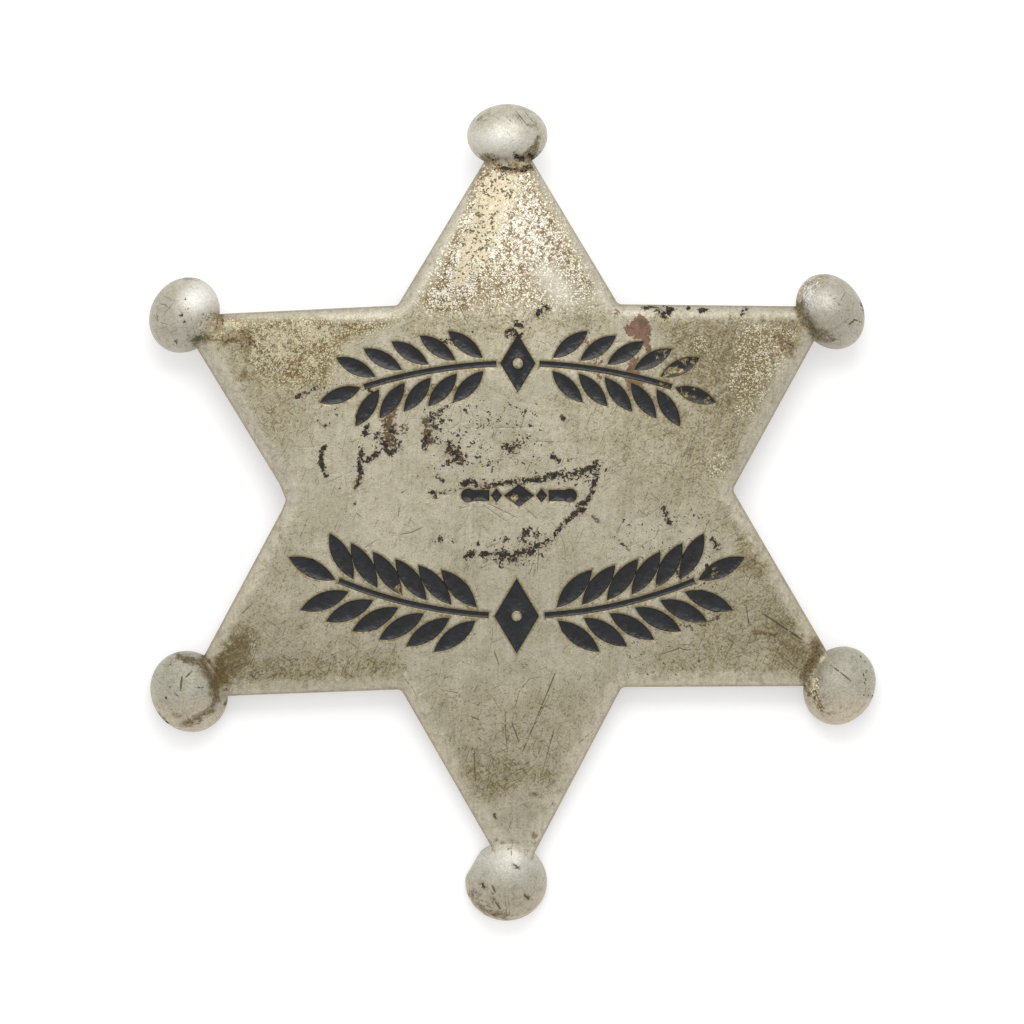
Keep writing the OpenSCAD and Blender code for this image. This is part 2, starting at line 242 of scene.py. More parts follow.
# Ground full of small dark specks: how dense, how soft its edge, corners
SPECKS = [
    (0.9, 8, [(442, 446), (452, 438), (465, 448), (466, 462), (448, 463)]),
    (0.78, 8, [(424, 410), (446, 404), (448, 424), (434, 446), (420, 440)]),
    (0.56, 8, [(462, 424), (476, 424), (474, 444), (462, 442)]),
    (0.74, 8, [(500, 440), (520, 438), (522, 456), (512, 464), (500, 458)]),
    (0.48, 10, [(430, 400), (540, 400), (545, 470), (430, 475)]),
    (0.62, 9, [(368, 428), (410, 420), (404, 452), (384, 458), (364, 448)]),
    (0.55, 6, [(474, 400), (490, 400), (488, 409), (474, 409)]),
    (0.74, 7, [(520, 484), (536, 474), (585, 468), (602, 460), (608, 476), (598, 484), (560, 484)]),
    (0.66, 6, [(460, 480), (480, 476), (505, 480), (512, 487), (462, 490)]),
    (0.52, 8, [(494, 534), (540, 526), (556, 538), (535, 566), (496, 568), (464, 560), (466, 550)]),
    (0.42, 8, [(425, 540), (445, 536), (446, 556), (428, 558)]),
    (0.42, 8, [(604, 534), (632, 532), (632, 552), (606, 550)]),
    (0.4, 16, [(655, 500), (720, 520), (724, 590), (690, 600), (650, 560)]),
    (0.4, 14, [(300, 380), (345, 380), (345, 420), (300, 420)]),
    (0.22, 20, [(420, 300), (600, 300), (606, 335), (420, 345)]),
    (0.5, 6, [(712, 535), (720, 536), (719, 556), (712, 552)]),
    (0.34, 20, [(600, 505), (680, 505), (680, 560), (600, 560)]),
    (0.25, 14, [(600, 640), (650, 636), (700, 650), (700, 684), (600, 684)]),
    (0.5, 6, [(858, 660), (876, 680), (868, 700), (858, 694)]),
    (0.16, 8, [(828, 290), (858, 296), (856, 330), (830, 334)]),
]

# Brown under the black: how much, half width, line
BROWN = [
    (1.0, 9, [(398, 392), (391, 404), (388, 420), (390, 440)]), (0.95, 8, [(427, 422), (428, 440)]),
    (0.3, 5, [(814, 696), (820, 708)]), (0.8, 6, [(391, 442), (395, 446)]),
    (0.55, 8, [(418, 398), (426, 392), (444, 386), (452, 390)]),
    (0.85, 8, [(450, 448), (458, 456), (462, 460)]), (0.7, 7, [(506, 446), (514, 450), (516, 444)]),
    (0.6, 5, [(478, 484), (508, 482), (530, 480)]), (0.45, 8, [(378, 436), (390, 430), (402, 430)]),
    (0.5, 6, [(540, 480), (562, 476), (584, 474)]), (0.45, 7, [(555, 535), (545, 545)]),
    (0.35, 6, [(497, 558), (520, 560)]), (0.3, 9, [(814, 650), (806, 668)]),
    (0.65, 4, [(700, 624), (709, 621), (716, 615)]), (0.45, 5, [(660, 616), (674, 622), (690, 628)]),
    (0.4, 10, [(228, 340), (252, 342)]),
]

# Green corrosion: how much, half width, line
VERDIGRIS = [
    (0.75, 4, [(194, 340), (201, 337)]), (0.34, 4, [(283, 331)]), (0.34, 5, [(246, 331), (252, 333)]),
    (0.34, 4, [(300, 327)]), (0.3, 4, [(262, 337)]), (0.26, 4, [(205, 316)]),
    (0.45, 5, [(486, 246), (492, 240)]), (0.4, 5, [(474, 262)]), (0.4, 5, [(252, 676), (260, 672)]),
]

# Rust stains: how much, how soft the edge, corners
RUST = [
    (1.0, 3, [(621, 328), (631, 321), (638, 313), (646, 319), (651, 329),
         (649, 343), (651, 352), (646, 356), (641, 341), (629, 337)]),
    (0.95, 3, [(625, 355), (638, 357), (636, 369), (643, 381), (642, 390), (655, 405),
         (647, 413), (635, 396), (626, 389), (623, 377), (628, 366)]),
    (0.45, 5, [(606, 306), (622, 307), (622, 318), (608, 318)]),
    (0.55, 4, [(576, 330), (584, 330), (592, 340), (604, 354), (603, 380), (596, 386), (586, 352)]),
    (0.4, 4, [(692, 351), (702, 352), (702, 361), (694, 361)]),
    (0.42, 2, [(815, 697), (820, 698), (823, 708), (817, 709)]),
]

# Lighter and darker ground, partly painted light: the bottom ball lit on top and shaded below, the upper
# right ball shaded: how much, half sizes, middle
TONE_AND_SHADING = [
    (0.55, 60, 90, 510, 225), (-0.3, 70, 60, 720, 360), (-0.34, 60, 40, 230, 662), (-0.2, 70, 40, 330, 680),
    (-0.22, 60, 60, 770, 630), (0.12, 90, 60, 380, 510), (-0.1, 80, 80, 500, 640),
    (-0.14, 60, 60, 510, 790), (0.16, 30, 14, 508, 850), (-0.22, 34, 16, 506, 904),
    (-0.22, 30, 30, 836, 314), (0.2, 22, 18, 850, 704), (0.16, 70, 9, 720, 684),
]

# Spots rubbed bright, most of them painted highlights on the balls: how much, half sizes, middle
POLISH_AND_HIGHLIGHT = [
    (0.8, 25, 13, 498, 139), (1.05, 17, 16, 200, 298), (0.7, 6, 13, 808, 297), (0.4, 13, 16, 822, 300),
    (0.7, 32, 18, 508, 855), (0.6, 15, 11, 545, 274), (0.7, 15, 12, 560, 291),
]

# Scratches: depth, half width, line
SCRATCHES = [
    (1.0, 0.9, [(554, 674), (540, 708), (522, 751)]), (0.6, 0.7, [(549, 694), (534, 724), (524, 742)]),
    (0.5, 0.7, [(541, 676), (529, 678), (519, 690), (513, 712)]),
    (0.6, 0.7, [(505, 712), (505, 730), (507, 751)]), (0.8, 0.8, [(474, 747), (474, 764), (475, 780)]),
    (0.6, 0.6, [(554, 727), (547, 752), (540, 778)]), (1.0, 0.9, [(511, 722), (515, 731), (518, 740)]),
    (0.5, 0.7, [(489, 693), (494, 699), (498, 707)]), (0.8, 0.9, [(494, 651), (496, 657), (498, 662)]),
    (0.5, 0.6, [(492, 688), (498, 685), (504, 680)]), (0.9, 1.0, [(472, 716), (479, 719)]),
    (0.5, 0.7, [(465, 727), (475, 724)]), (0.5, 0.7, [(442, 689), (458, 692)]),
    (0.5, 0.7, [(578, 742), (586, 735), (593, 729)]), (0.4, 0.6, [(490, 749), (494, 738), (498, 729)]),
    (1.0, 1.3, [(762, 613), (780, 625), (801, 639)]), (0.8, 0.7, [(745, 605), (748, 624)]),
    (0.8, 0.9, [(662, 653), (671, 650), (679, 647), (683, 649), (690, 649)]),
    (0.6, 0.7, [(709, 621), (723, 612)]), (0.6, 0.7, [(748, 555), (757, 566)]),
    (0.5, 0.6, [(693, 492), (704, 500)]), (1.0, 1.2, [(829, 664), (838, 671), (848, 679)]),
    (0.6, 0.6, [(240, 615), (247, 608), (255, 601)]), (0.5, 0.6, [(354, 553), (368, 545), (382, 536)]),
    (0.9, 0.7, [(400, 534), (411, 532), (422, 527)]), (0.7, 0.8, [(399, 508), (398, 516)]),
    (0.6, 0.6, [(411, 516), (408, 524)]), (0.8, 0.6, [(490, 504), (502, 510), (516, 517)]),
    (0.6, 0.6, [(485, 506), (496, 514), (508, 522)]), (0.7, 0.6, [(525, 508), (531, 513), (537, 519)]),
    (0.8, 0.6, [(537, 528), (538, 548), (537, 572)]), (0.5, 0.6, [(535, 564), (533, 578)]),
    (0.5, 0.6, [(520, 428), (524, 416), (527, 405)]), (0.5, 0.5, [(484, 427), (514, 427), (542, 426)]),
    (0.5, 0.5, [(538, 441), (562, 442)]), (0.6, 0.7, [(453, 293), (461, 310), (469, 327)]),
    (0.5, 0.5, [(310, 425), (316, 412), (330, 398)]), (0.5, 0.5, [(385, 587), (390, 575), (398, 560)]),
    (0.6, 0.8, [(511, 845), (511, 856)]), (0.3, 1.0, [(504, 884), (505, 900), (507, 918)]),
    (0.4, 0.8, [(508, 896), (509, 906), (509, 916)]), (1.0, 1.5, [(492, 884), (495, 890)]),
    (1.0, 1.4, [(496, 901), (500, 907)]), (0.9, 1.2, [(524, 893), (528, 897)]),
    (0.9, 1.2, [(513, 862), (518, 866)]), (1.0, 1.2, [(848, 324), (853, 320), (860, 322)]),
    (0.7, 0.8, [(155, 315), (159, 321)]), (0.7, 0.8, [(157, 314), (160, 320)]),
    (0.6, 0.8, [(161, 304), (166, 305), (169, 308)]), (0.6, 0.7, [(515, 112), (521, 119), (527, 127)]),
    (0.5, 0.7, [(524, 112), (529, 118), (534, 124)]), (0.5, 0.7, [(506, 118), (512, 124)]),
    (0.4, 0.6, [(520, 116), (514, 124)]), (0.4, 0.6, [(478, 124), (488, 119)]),
    (0.5, 0.7, [(844, 292), (838, 302)]), (0.4, 0.6, [(824, 306), (836, 314)]),
    (0.5, 0.6, [(164, 316), (171, 308), (176, 300)]), (0.4, 0.6, [(160, 322), (172, 326)]),
    (0.4, 0.6, [(168, 334), (180, 330)]), (1.0, 1.2, [(187, 676), (192, 671)]),
    (1.0, 1.3, [(183, 676), (182, 688)]), (0.7, 1.0, [(197, 686), (205, 686)]),
    (0.7, 1.0, [(176, 692), (180, 695)]),
]

# Creases in the balls: depth in millimetres, half width, line
FOLDS = [
    (0.14, 3, [(533, 124), (538, 138), (528, 154)]), (0.1, 3, [(508, 122), (516, 136), (528, 142)]),
    (0.12, 5, [(799, 306), (802, 322), (814, 334), (831, 338)]),
    (0.1, 4, [(208, 664), (217, 682), (212, 708)]), (0.06, 3, [(510, 846), (511, 858)]),
]

# Pits and knocks in the metal: middle, radius, depth in millimetres
DENTS = [
    (483, 883, 2.0, 0.1), (491, 896, 3.5, 0.16), (498, 904, 3.0, 0.12), (498, 893, 2.2, -0.06),
    (513, 880, 2.0, -0.06), (516, 865, 3.5, 0.06), (855, 320, 4.0, 0.1), (812, 684, 4.0, -0.1),
    (815, 692, 3.0, -0.08), (818, 703, 3.5, -0.08), (662, 314, 6.0, 0.05),
]


# Plane geometry
TINY = 1e-9


def as_points(pairs):
    return np.array(pairs, float).reshape(-1, 2)


def unit(way):
    return way / np.hypot(*way)


def round_ways(count):
    """Unit vectors that point evenly all round"""
    turns = np.arange(count) * 2 * math.pi / count
    return np.stack([np.cos(turns), np.sin(turns)], 1)


def leftward(onward):
    """Unit vectors square to the left of others"""
    return np.stack([-onward[:, 1], onward[:, 0]], 1) / np.hypot(*onward.T)[:, None]


def span_distance(points, start, end):
    """How far each point lies from the line between two others"""
    run = end - start
    along = np.clip(((points - start) @ run) / max(run @ run, TINY), 0, 1)
    return np.hypot(*(points - start - along[:, None] * run).T)


def line_distance(points, line):
    """How far each point lies from a line through several others, or from one point"""
    line = as_points(line)
    if len(line) == 1:
        line = np.vstack([line, line])
    return np.min([span_distance(points, a, b) for a, b in zip(line, line[1:])], axis=0)


def is_inside(points, loop):
    """Whether each point lies inside a closed loop"""
    count = np.zeros(len(points), int)
    for start, end in zip(loop, np.roll(loop, -1, axis=0)):
        crosses = (start[1] > points[:, 1]) != (end[1] > points[:, 1])
        rise = end[1] - start[1] if end[1] != start[1] else TINY
        count += crosses & (points[:, 0] < start[0] + (points[:, 1] - start[1]) * (end[0] - start[0]) / rise)
    return count % 2 == 1


def depth_inside(points, loop):
    """How far inside a closed loop each point lies, and less than zero outside it"""
    away = line_distance(points, np.vstack([loop, loop[:1]]))
    return np.where(is_inside(points, loop), away, -away)


def smooth_step(value, low, high):
    share = np.clip((value - low) / (high - low), 0, 1)
    return share * share * (3 - 2 * share)


def smooth_top(a, b, soft):
    """The higher of two heights, with a fillet where they meet"""
    share = np.clip(0.5 + (a - b) / (2 * soft), 0, 1)
    return b + (a - b) * share + soft * share * (1 - share)


def spaced(line, step, closed=False):
    """The points of a line with more between them, no further apart than a step"""
    line = as_points(line)
    stops = np.vstack([line, line[:1]]) if closed else line
    found = []
    for start, end in zip(stops, stops[1:]):
        count = max(1, math.ceil(np.hypot(*(end - start)) / step))
        found += [start + (end - start) * i / count for i in range(count)]
    return np.array(found if closed else found + [stops[-1]])


def filleted(before, at, after, radius, steps):
    """The points of an arc that rounds a corner"""
    back, on = unit(before - at), unit(after - at)
    half = math.acos(np.clip(back @ on, -1, 1)) / 2
    middle = at + unit(back + on) * radius / math.sin(half)
    start = at + back * radius / math.tan(half)
    end = at + on * radius / math.tan(half)
    turn = [math.atan2(*(p - middle)[::-1]) for p in (start, end)]
    sweep = (turn[1] - turn[0] + math.pi) % (2 * math.pi) - math.pi
    return [middle + radius * np.array([math.cos(t), math.sin(t)])
            for t in turn[0] + sweep * np.linspace(0, 1, steps + 1)]


# The outline of the star, and the marks of the ornament
FILLET_STEPS = 6
OUTLINE_STEP = 0.3


def star_outline():
    """The star's outline, anticlockwise, its notches rounded and its corners sharp under the balls"""
    corners = [np.array(p, float) for arm in ARMS for p in [arm[0], *arm[3]]]
    is_notch = [i > 0 for arm in ARMS for i in range(1 + len(arm[3]))]
    loop = []
    for i, at in enumerate(corners):
        if is_notch[i]:
            loop += filleted(corners[i - 1], at, corners[(i + 1) % len(corners)], NOTCH_R, FILLET_STEPS)
        else:
            loop.append(at)
    return np.array(loop)


STAR = star_outline()


def oval_reach(arm, ways, shrink=0.0):
    """How far out on a ball the offsets from its middle lie: 1 on its outline"""
    at, half = np.array(ARMS[arm][1]), np.array(ARMS[arm][2]) - shrink
    lean = math.atan2(at[1], at[0])
    along = ways @ [math.cos(lean), math.sin(lean)]
    across = ways @ [-math.sin(lean), math.cos(lean)]
    reach = np.hypot(along / half[0], across / half[1])
    for flat_arm, facing, out in FLAT_SIDES:
        if flat_arm == arm:
            turn = math.radians(facing)
            side = (ways @ [math.cos(turn), math.sin(turn)]) / (out - shrink)
            reach = np.maximum(reach, side)
    return reach


def oval_ring(arm, reach, count, shrink=0.0):
    """Points round a ball at one reach"""
    ways = round_ways(count)
    return np.array(ARMS[arm][1]) + ways * (reach / oval_reach(arm, ways, shrink))[:, None]


def marks_of(spray):
    """The leaves and the lozenge of a spray: kind, place, turn and sizes"""
    length, width = spray["leaf"]
    out = length / 2 * math.cos(LEAF_LEAN)
    up = STEM_W / 2 + LEAF_CLEAR + length / 2 * math.sin(LEAF_LEAN)
    end = stem_span(spray)[1] + LEAF_CLEAR + length / 2
    found = [("ringed lozenge", arc_place(spray, 0, 0), 0.0, spray["lozenge"])]
    for side in (-1, 1):
        for i in range(spray["pairs"]):
            s = side * (spray["first"] + i * spray["pitch"])
            turn = -s / spray["radius"]
            for above in (-1, 1):
                place = arc_place(spray, s, 0) + turned(side * out, above * up, turn)
                found.append(("leaf", place, turn + side * above * LEAF_LEAN, spray["leaf"]))
        found.append(("leaf", arc_place(spray, side * end, 0), -side * end / spray["radius"], spray["leaf"]))
    return found


def turned(x, y, turn):
    return np.array([x * math.cos(turn) - y * math.sin(turn), x * math.sin(turn) + y * math.cos(turn)])


def arc_place(spray, s, off):
    """The point at a distance s along a spray's arc and off to its outer side"""
    turn = s / spray["radius"]
    reach = spray["radius"] + off
    return np.array(spray["middle"]) + [reach * math.sin(turn), reach * math.cos(turn) - spray["radius"]]


def stem_span(spray):
    """Where a spray's stems start and end along its arc"""
    return spray["first"] - spray["pitch"] / 2, spray["first"] + (spray["pairs"] - 0.5) * spray["pitch"]


def divider_marks():
    at = np.array(DIVIDER_AT)
    found = [("lozenge", at, 0.0, MIDDLE_LOZENGE)]
    for side in (-1, 1):
        found.append(("lozenge", at + [side * SIDE_LOZENGE_X, 0], 0.0, SIDE_LOZENGE))
        found.append(("bar", at + [side * BAR_X, 0], 0.0, BAR_SIZE))
        found.append(("pellet", at + [side * PELLET_X, 0], 0.0, (PELLET_R, PELLET_R)))
    return found


def leaf_discs(size):
    """Radius of the two discs that a leaf lies between, and how far off its axis their middles are"""
    bow = (size[0] ** 2 + size[1] ** 2) / (4 * size[1])
    return bow, bow - size[1] / 2


def mark_distance(points, mark):
    """How far outside a mark each point lies, and less than zero inside it"""
    kind, place, turn, size = mark
    x, y = turned(*(points - place).T, -turn)
    if kind == "leaf":
        bow, off = leaf_discs(size)
        return np.maximum(np.hypot(x, y - off), np.hypot(x, y + off)) - bow
    if kind == "bar":
        return np.maximum(np.abs(x) - size[0] / 2, np.abs(y) - size[1] / 2)
    if kind == "pellet":
        return np.hypot(x, y) - size[0]
    slope = size[0] * size[1] / math.hypot(*size)
    away = (np.abs(x) / size[0] + np.abs(y) / size[1] - 1) * slope
    return np.maximum(away, BEAD_R - np.hypot(x, y)) if kind == "ringed lozenge" else away


def stem_distance(points, spray):
    """How far outside a spray's two stems each point lies"""
    radius, bend = spray["radius"], math.copysign(1, spray["radius"])
    q = points - np.array(spray["middle"]) + [0, radius]
    off = bend * np.hypot(*q.T) - radius
    s = np.arctan2(bend * q[:, 0], bend * q[:, 1]) * radius
    start, end = stem_span(spray)
    return np.maximum(np.abs(off) - STEM_W / 2, np.maximum(start - np.abs(s), np.abs(s) - end))


SPRAYS = (UPPER_SPRAY, LOWER_SPRAY)
MARKS = [m for spray in SPRAYS for m in marks_of(spray)] + divider_marks()


def marks_distance(points):
    """How far outside every mark each point lies, and less than zero inside one"""
    away = [mark_distance(points, m) for m in MARKS] + [stem_distance(points, s) for s in SPRAYS]
    return np.min(away, axis=0)


LEAF_STEPS = 12
ROUND_STEPS = 28
LOZENGE_STEPS = 7
BAR_STEP = 0.25


def mark_loops(mark, grow):
    """The closed lines round a mark, a little outside its outline or inside it"""
    kind, place, turn, size = mark
    if kind == "leaf":
        bow, off = leaf_discs(size)
        tip = math.sqrt((bow + grow) ** 2 - off ** 2)
        x = tip * np.sin(np.linspace(-0.5, 0.5, LEAF_STEPS + 1) * math.pi)
        side = np.sqrt((bow + grow) ** 2 - x ** 2) - off
        loops = [np.vstack([np.stack([x, -side], 1), np.stack([x, side], 1)[-2:0:-1]])]
    elif kind == "bar":
        w, h = size[0] / 2 + grow, size[1] / 2 + grow
        loops = [spaced([(w, -h), (w, h), (-w, h), (-w, -h)], BAR_STEP, closed=True)]
    elif kind == "pellet":
        loops = [(size[0] + grow) * round_ways(ROUND_STEPS)]
    else:
        w, h = (half + grow * math.hypot(*size) / other for half, other in zip(size, size[::-1]))
        loops = [spaced([(w, 0), (0, h), (-w, 0), (0, -h)], math.hypot(w, h) / LOZENGE_STEPS, closed=True)]
        if kind == "ringed lozenge":
            loops.append((BEAD_R - grow) * round_ways(ROUND_STEPS))
    return [np.stack(turned(*loop.T, turn), 1) + place for loop in loops]


def stem_loops(spray, grow):
    start, end = stem_span(spray)
    stops = np.linspace(start - grow, end + grow, 2 * math.ceil((end - start) / OUTLINE_STEP))
    half = STEM_W / 2 + grow
    return [np.array([arc_place(spray, side * s, half) for s in stops]
                     + [arc_place(spray, side * s, -half) for s in stops[::-1]]) for side in (-1, 1)]


# The charts as numbers at points of the badge. A trail fades between these shares of its half width
TRAIL_CORE = 0.1
TRAIL_END = 1.2


def in_photo(points):
    """Where points of the badge lie in the photograph"""
    return points * [1, -1] / PHOTO_PIXEL + PHOTO_MIDDLE


def on_badge(pixels):
    """Where pixels of the photograph lie on the badge"""
    return (as_points(pixels) - PHOTO_MIDDLE) * [1, -1] * PHOTO_PIXEL


def patch_field(points, rows):
    """The strongest of several soft-edged patches at each point"""
    pixels = in_photo(points)
    return np.max([much * smooth_step(depth_inside(pixels, as_points(corners)), -soft, soft)
                   for much, soft, corners in rows], axis=0)


def trail_field(points, rows):
    """The strongest of several soft-edged lines at each point"""
    pixels = in_photo(points)
    return np.max([much * smooth_step(-line_distance(pixels, line), -TRAIL_END * half, -TRAIL_CORE * half)
                   for much, half, line in rows], axis=0)


def spot_field(points, rows):
    """The sum of several soft round spots at each point"""
    pixels = in_photo(points)
    return np.sum([much * np.exp(-((pixels[:, 0] - x) / wide) ** 2 - ((pixels[:, 1] - y) / high) ** 2)
                   for much, wide, high, x, y in rows], axis=0)


# Heights of the outer surface and of the hollow back: fillets under the balls, walls and lips of the recesses
CREASE = 0.28
SOFT_CREASE = 1.7
WALL_IN = 0.025
LIP_OUT = 0.06
LIP_DROP = 0.025
SOFT_BELOW = -22
OUTSIDE_SLOPE = 4
FAR_BELOW = -9.0
ON_BALL = 1.001

# Slow waves in the face: height, turn to each millimetre across and up, and where they start
WAVES = [
    (0.030, 0.31, 0.17, 0.4), (0.022, -0.23, 0.41, 2.1), (0.012, 0.67, -0.38, 4.4), (0.008, 0.9, 0.8, 1.3),
]
WAVE_FADE = (0.2, 3)


def ball_high(points, high, skirt, shrink=0.0):
    """Height of the balls at each point, and far below the rim outside them"""
    top = np.full(len(points), FAR_BELOW)
    for arm in range(len(ARMS)):
        reach = oval_reach(arm, points - np.array(ARMS[arm][1]), shrink)
        dome = skirt + (high - skirt) * np.sqrt(np.clip(1 - reach ** 2, 0, 1))
        top = np.where(reach <= ON_BALL, np.maximum(top, dome), top)
    return top


def under_side(points):
    """How far below the middle of its ball each point lies, from -1 to 1"""
    nearest = np.argmin([np.hypot(*(points - np.array(arm[1])).T) for arm in ARMS], axis=0)
    middles, halves = (np.array([arm[i] for arm in ARMS])[nearest] for i in (1, 2))
    return np.clip((middles[:, 1] - points[:, 1]) / halves[:, 1], -1, 1)


def face_height(points):
    """Height of the outer surface at each point of the badge"""
    inset = depth_inside(points, STAR)
    bend = EDGE_R - np.clip(inset, 0, EDGE_R)
    face = DEPTH - EDGE_R + np.sqrt(EDGE_R ** 2 - bend ** 2) + np.minimum(inset, 0) * OUTSIDE_SLOPE
    for high, across, up, start in WAVES:
        face += high * np.sin(points @ [across, up] + start) * smooth_step(inset, *WAVE_FADE)
    away = marks_distance(points)
    lip = LIP_DROP * np.clip(1 - away / LIP_OUT, 0, 1) ** 2
    face -= np.where(away > 0, lip, LIP_DROP + (RECESS - LIP_DROP) * np.clip(-away / WALL_IN, 0, 1))
    crease = np.where(points[:, 1] < SOFT_BELOW, SOFT_CREASE, CREASE)
    top = smooth_top(face, ball_high(points, BALL_HIGH, BALL_SKIRT), crease)
    pixels = in_photo(points)
    for deep, half, line in FOLDS:
        top -= deep * np.exp(-(line_distance(pixels, line) / half) ** 2)
    for x, y, radius, deep in DENTS:
        top -= deep * np.exp(-(np.hypot(pixels[:, 0] - x, pixels[:, 1] - y) / radius) ** 2)
    return top


def hollow_height(points):
    """Height of the hollow back at each point of the badge"""
    inset = depth_inside(points, STAR)
    dish = (DEPTH - SHEET) * np.clip((inset - RIM_W) / RIM_FLARE, 0, 1)
    return np.maximum(dish, np.maximum(ball_high(points, BALL_HIGH - BALL_WALL, 0, BALL_WALL), 0))


# Fine scratches from wear, on the face and then on each ball: how many, and the spans they are drawn from
HAIRLINES = 420
HAIRLINE_SEED = 7
HAIRLINE_SPAN = 30
HAIRLINE_LENGTH = 0.8
HAIRLINE_GROWTH = (0.7, 0.7)
HAIRLINE_LONGEST = 11
HAIRLINE_WAYS = [(1.25, 0.35), (0.5, 0.4)]
HAIRLINE_BEND = 0.05
HAIRLINE_DEPTH = (0.12, 0.6)
HAIRLINE_SHALLOW = 1.3
HAIRLINE_HALF = (0.03, 0.05)
HAIRLINE_INSET = 0.6
BALL_HAIRLINES = 16
BALL_HAIRLINE_SPAN = 2.8
BALL_HAIRLINE_LENGTH = (0.5, 2.2)
BALL_HAIRLINE_DEPTH = (0.10, 0.45)
BALL_HAIRLINE_HALF = 0.035

# How close the points along a scratch are, and how far scratches and rings keep off the recesses
SCRATCH_STEP = 0.22
KEEP_OFF = 0.14


def hairlines():
    """Fine scratches from wear, in millimetres: depth, half width and line"""
    rng = np.random.default_rng(HAIRLINE_SEED)
    found = []
    while len(found) < HAIRLINES:
        start = rng.uniform(-HAIRLINE_SPAN, HAIRLINE_SPAN, 2)
        length = min(HAIRLINE_LENGTH * math.exp(rng.normal(*HAIRLINE_GROWTH)), HAIRLINE_LONGEST)
        way = rng.choice([*(rng.normal(*usual) for usual in HAIRLINE_WAYS), rng.uniform(0, math.pi)])
        bend = rng.normal(0, HAIRLINE_BEND)
        steps = max(2, math.ceil(length / SCRATCH_STEP))
        heading = way + bend * np.arange(steps)
        line = start + np.cumsum(np.stack([np.cos(heading), np.sin(heading)], 1) * length / steps, axis=0)
        depth = rng.uniform(*HAIRLINE_DEPTH) ** HAIRLINE_SHALLOW
        if depth_inside(line[[0, -1]], STAR).min() > HAIRLINE_INSET:
            found.append((depth, rng.uniform(*HAIRLINE_HALF), line))
    for arm in ARMS:
        for _ in range(BALL_HAIRLINES):
            start = np.array(arm[1]) + rng.uniform(-BALL_HAIRLINE_SPAN, BALL_HAIRLINE_SPAN, 2)
            way = turned(rng.uniform(*BALL_HAIRLINE_LENGTH), 0, rng.uniform(0, math.pi))
            line = spaced([start, start + way], SCRATCH_STEP)
            found.append((rng.uniform(*BALL_HAIRLINE_DEPTH), BALL_HAIRLINE_HALF, line))
    return found


# Plans of the sheets, and their triangles
INSIDE_ONLY = 1
WELD = 1e-5


class Plan:
    """Points, some joined in lines, that a sheet is triangulated through"""

    def __init__(self):
        self.points = np.zeros((0, 2))
        self.deep = np.zeros(0)
        self.edges = []
        self.areas = []

    def add(self, points, deep=0.0):
        first = len(self.points)
        self.points = np.vstack([self.points, points])
        self.deep = np.append(self.deep, np.broadcast_to(deep, len(points)))
        return list(range(first, first + len(points)))

    def loop(self, points):
        made = self.add(points)
        self.edges += list(zip(made, made[1:] + made[:1]))

    def area(self, points):
        self.areas.append(self.add(points))

    def fill(self, points, clear):
        """Adds the points that keep clear of those already there"""
        tree = KDTree(len(self.points))
        for i, (x, y) in enumerate(self.points):
            tree.insert((x, y, 0), i)
        tree.balance()
        self.add(np.array([p for p in points if tree.find((p[0], p[1], 0))[2] > clear]))

    def cut(self):
        """Corners, depth of scratch at each, and triangles"""
        made = delaunay_2d_cdt([Vector(p) for p in self.points], self.edges, self.areas, INSIDE_ONLY, WELD)
        deep = [max((self.deep[i] for i in origin), default=0.0) for origin in made[3]]
        return np.array(made[0]), np.array(deep), np.array(made[2])


LATTICE_HALF = 36


def lattice(step):
    """Points in rows, each row shifted by half a step"""
    rows = np.arange(-LATTICE_HALF, LATTICE_HALF, step * math.sqrt(0.75))
    columns = np.arange(-LATTICE_HALF, LATTICE_HALF, step)
    x = columns[None, :] + np.where(np.arange(len(rows)) % 2, step / 2, 0)[:, None]
    return np.stack([x.ravel(), np.repeat(rows, len(columns))], 1)


FACE_STEP = 0.235
BACK_STEP = 0.8
EDGE_TURNS = (12, 25, 38, 50, 62, 76, 90)
BALL_TURNS = (90, 84, 77, 69, 60, 50)
BALL_POINTS = 80
RING_SLIP = 0.02
SCRATCH_ENDS = (0.12, 0.94)
EDGE_CLEAR = 0.1
FACE_CLEAR = 0.55
BACK_CLEAR = 0.5

# Where a ball is higher than this, a point belongs to it
BALL_ABOVE = 1
BACK_BALL_ABOVE = 0.3


def inner_rings(step, insets):
    """Rows of points that follow the star's outline at some distances inside it"""
    edge = spaced(STAR, step, closed=True)
    inward = leftward(np.roll(edge, -1, axis=0) - np.roll(edge, 1, axis=0))
    for inset in insets:
        ring = edge + inward * inset
        yield ring[np.abs(depth_inside(ring, STAR) - inset) < RING_SLIP]


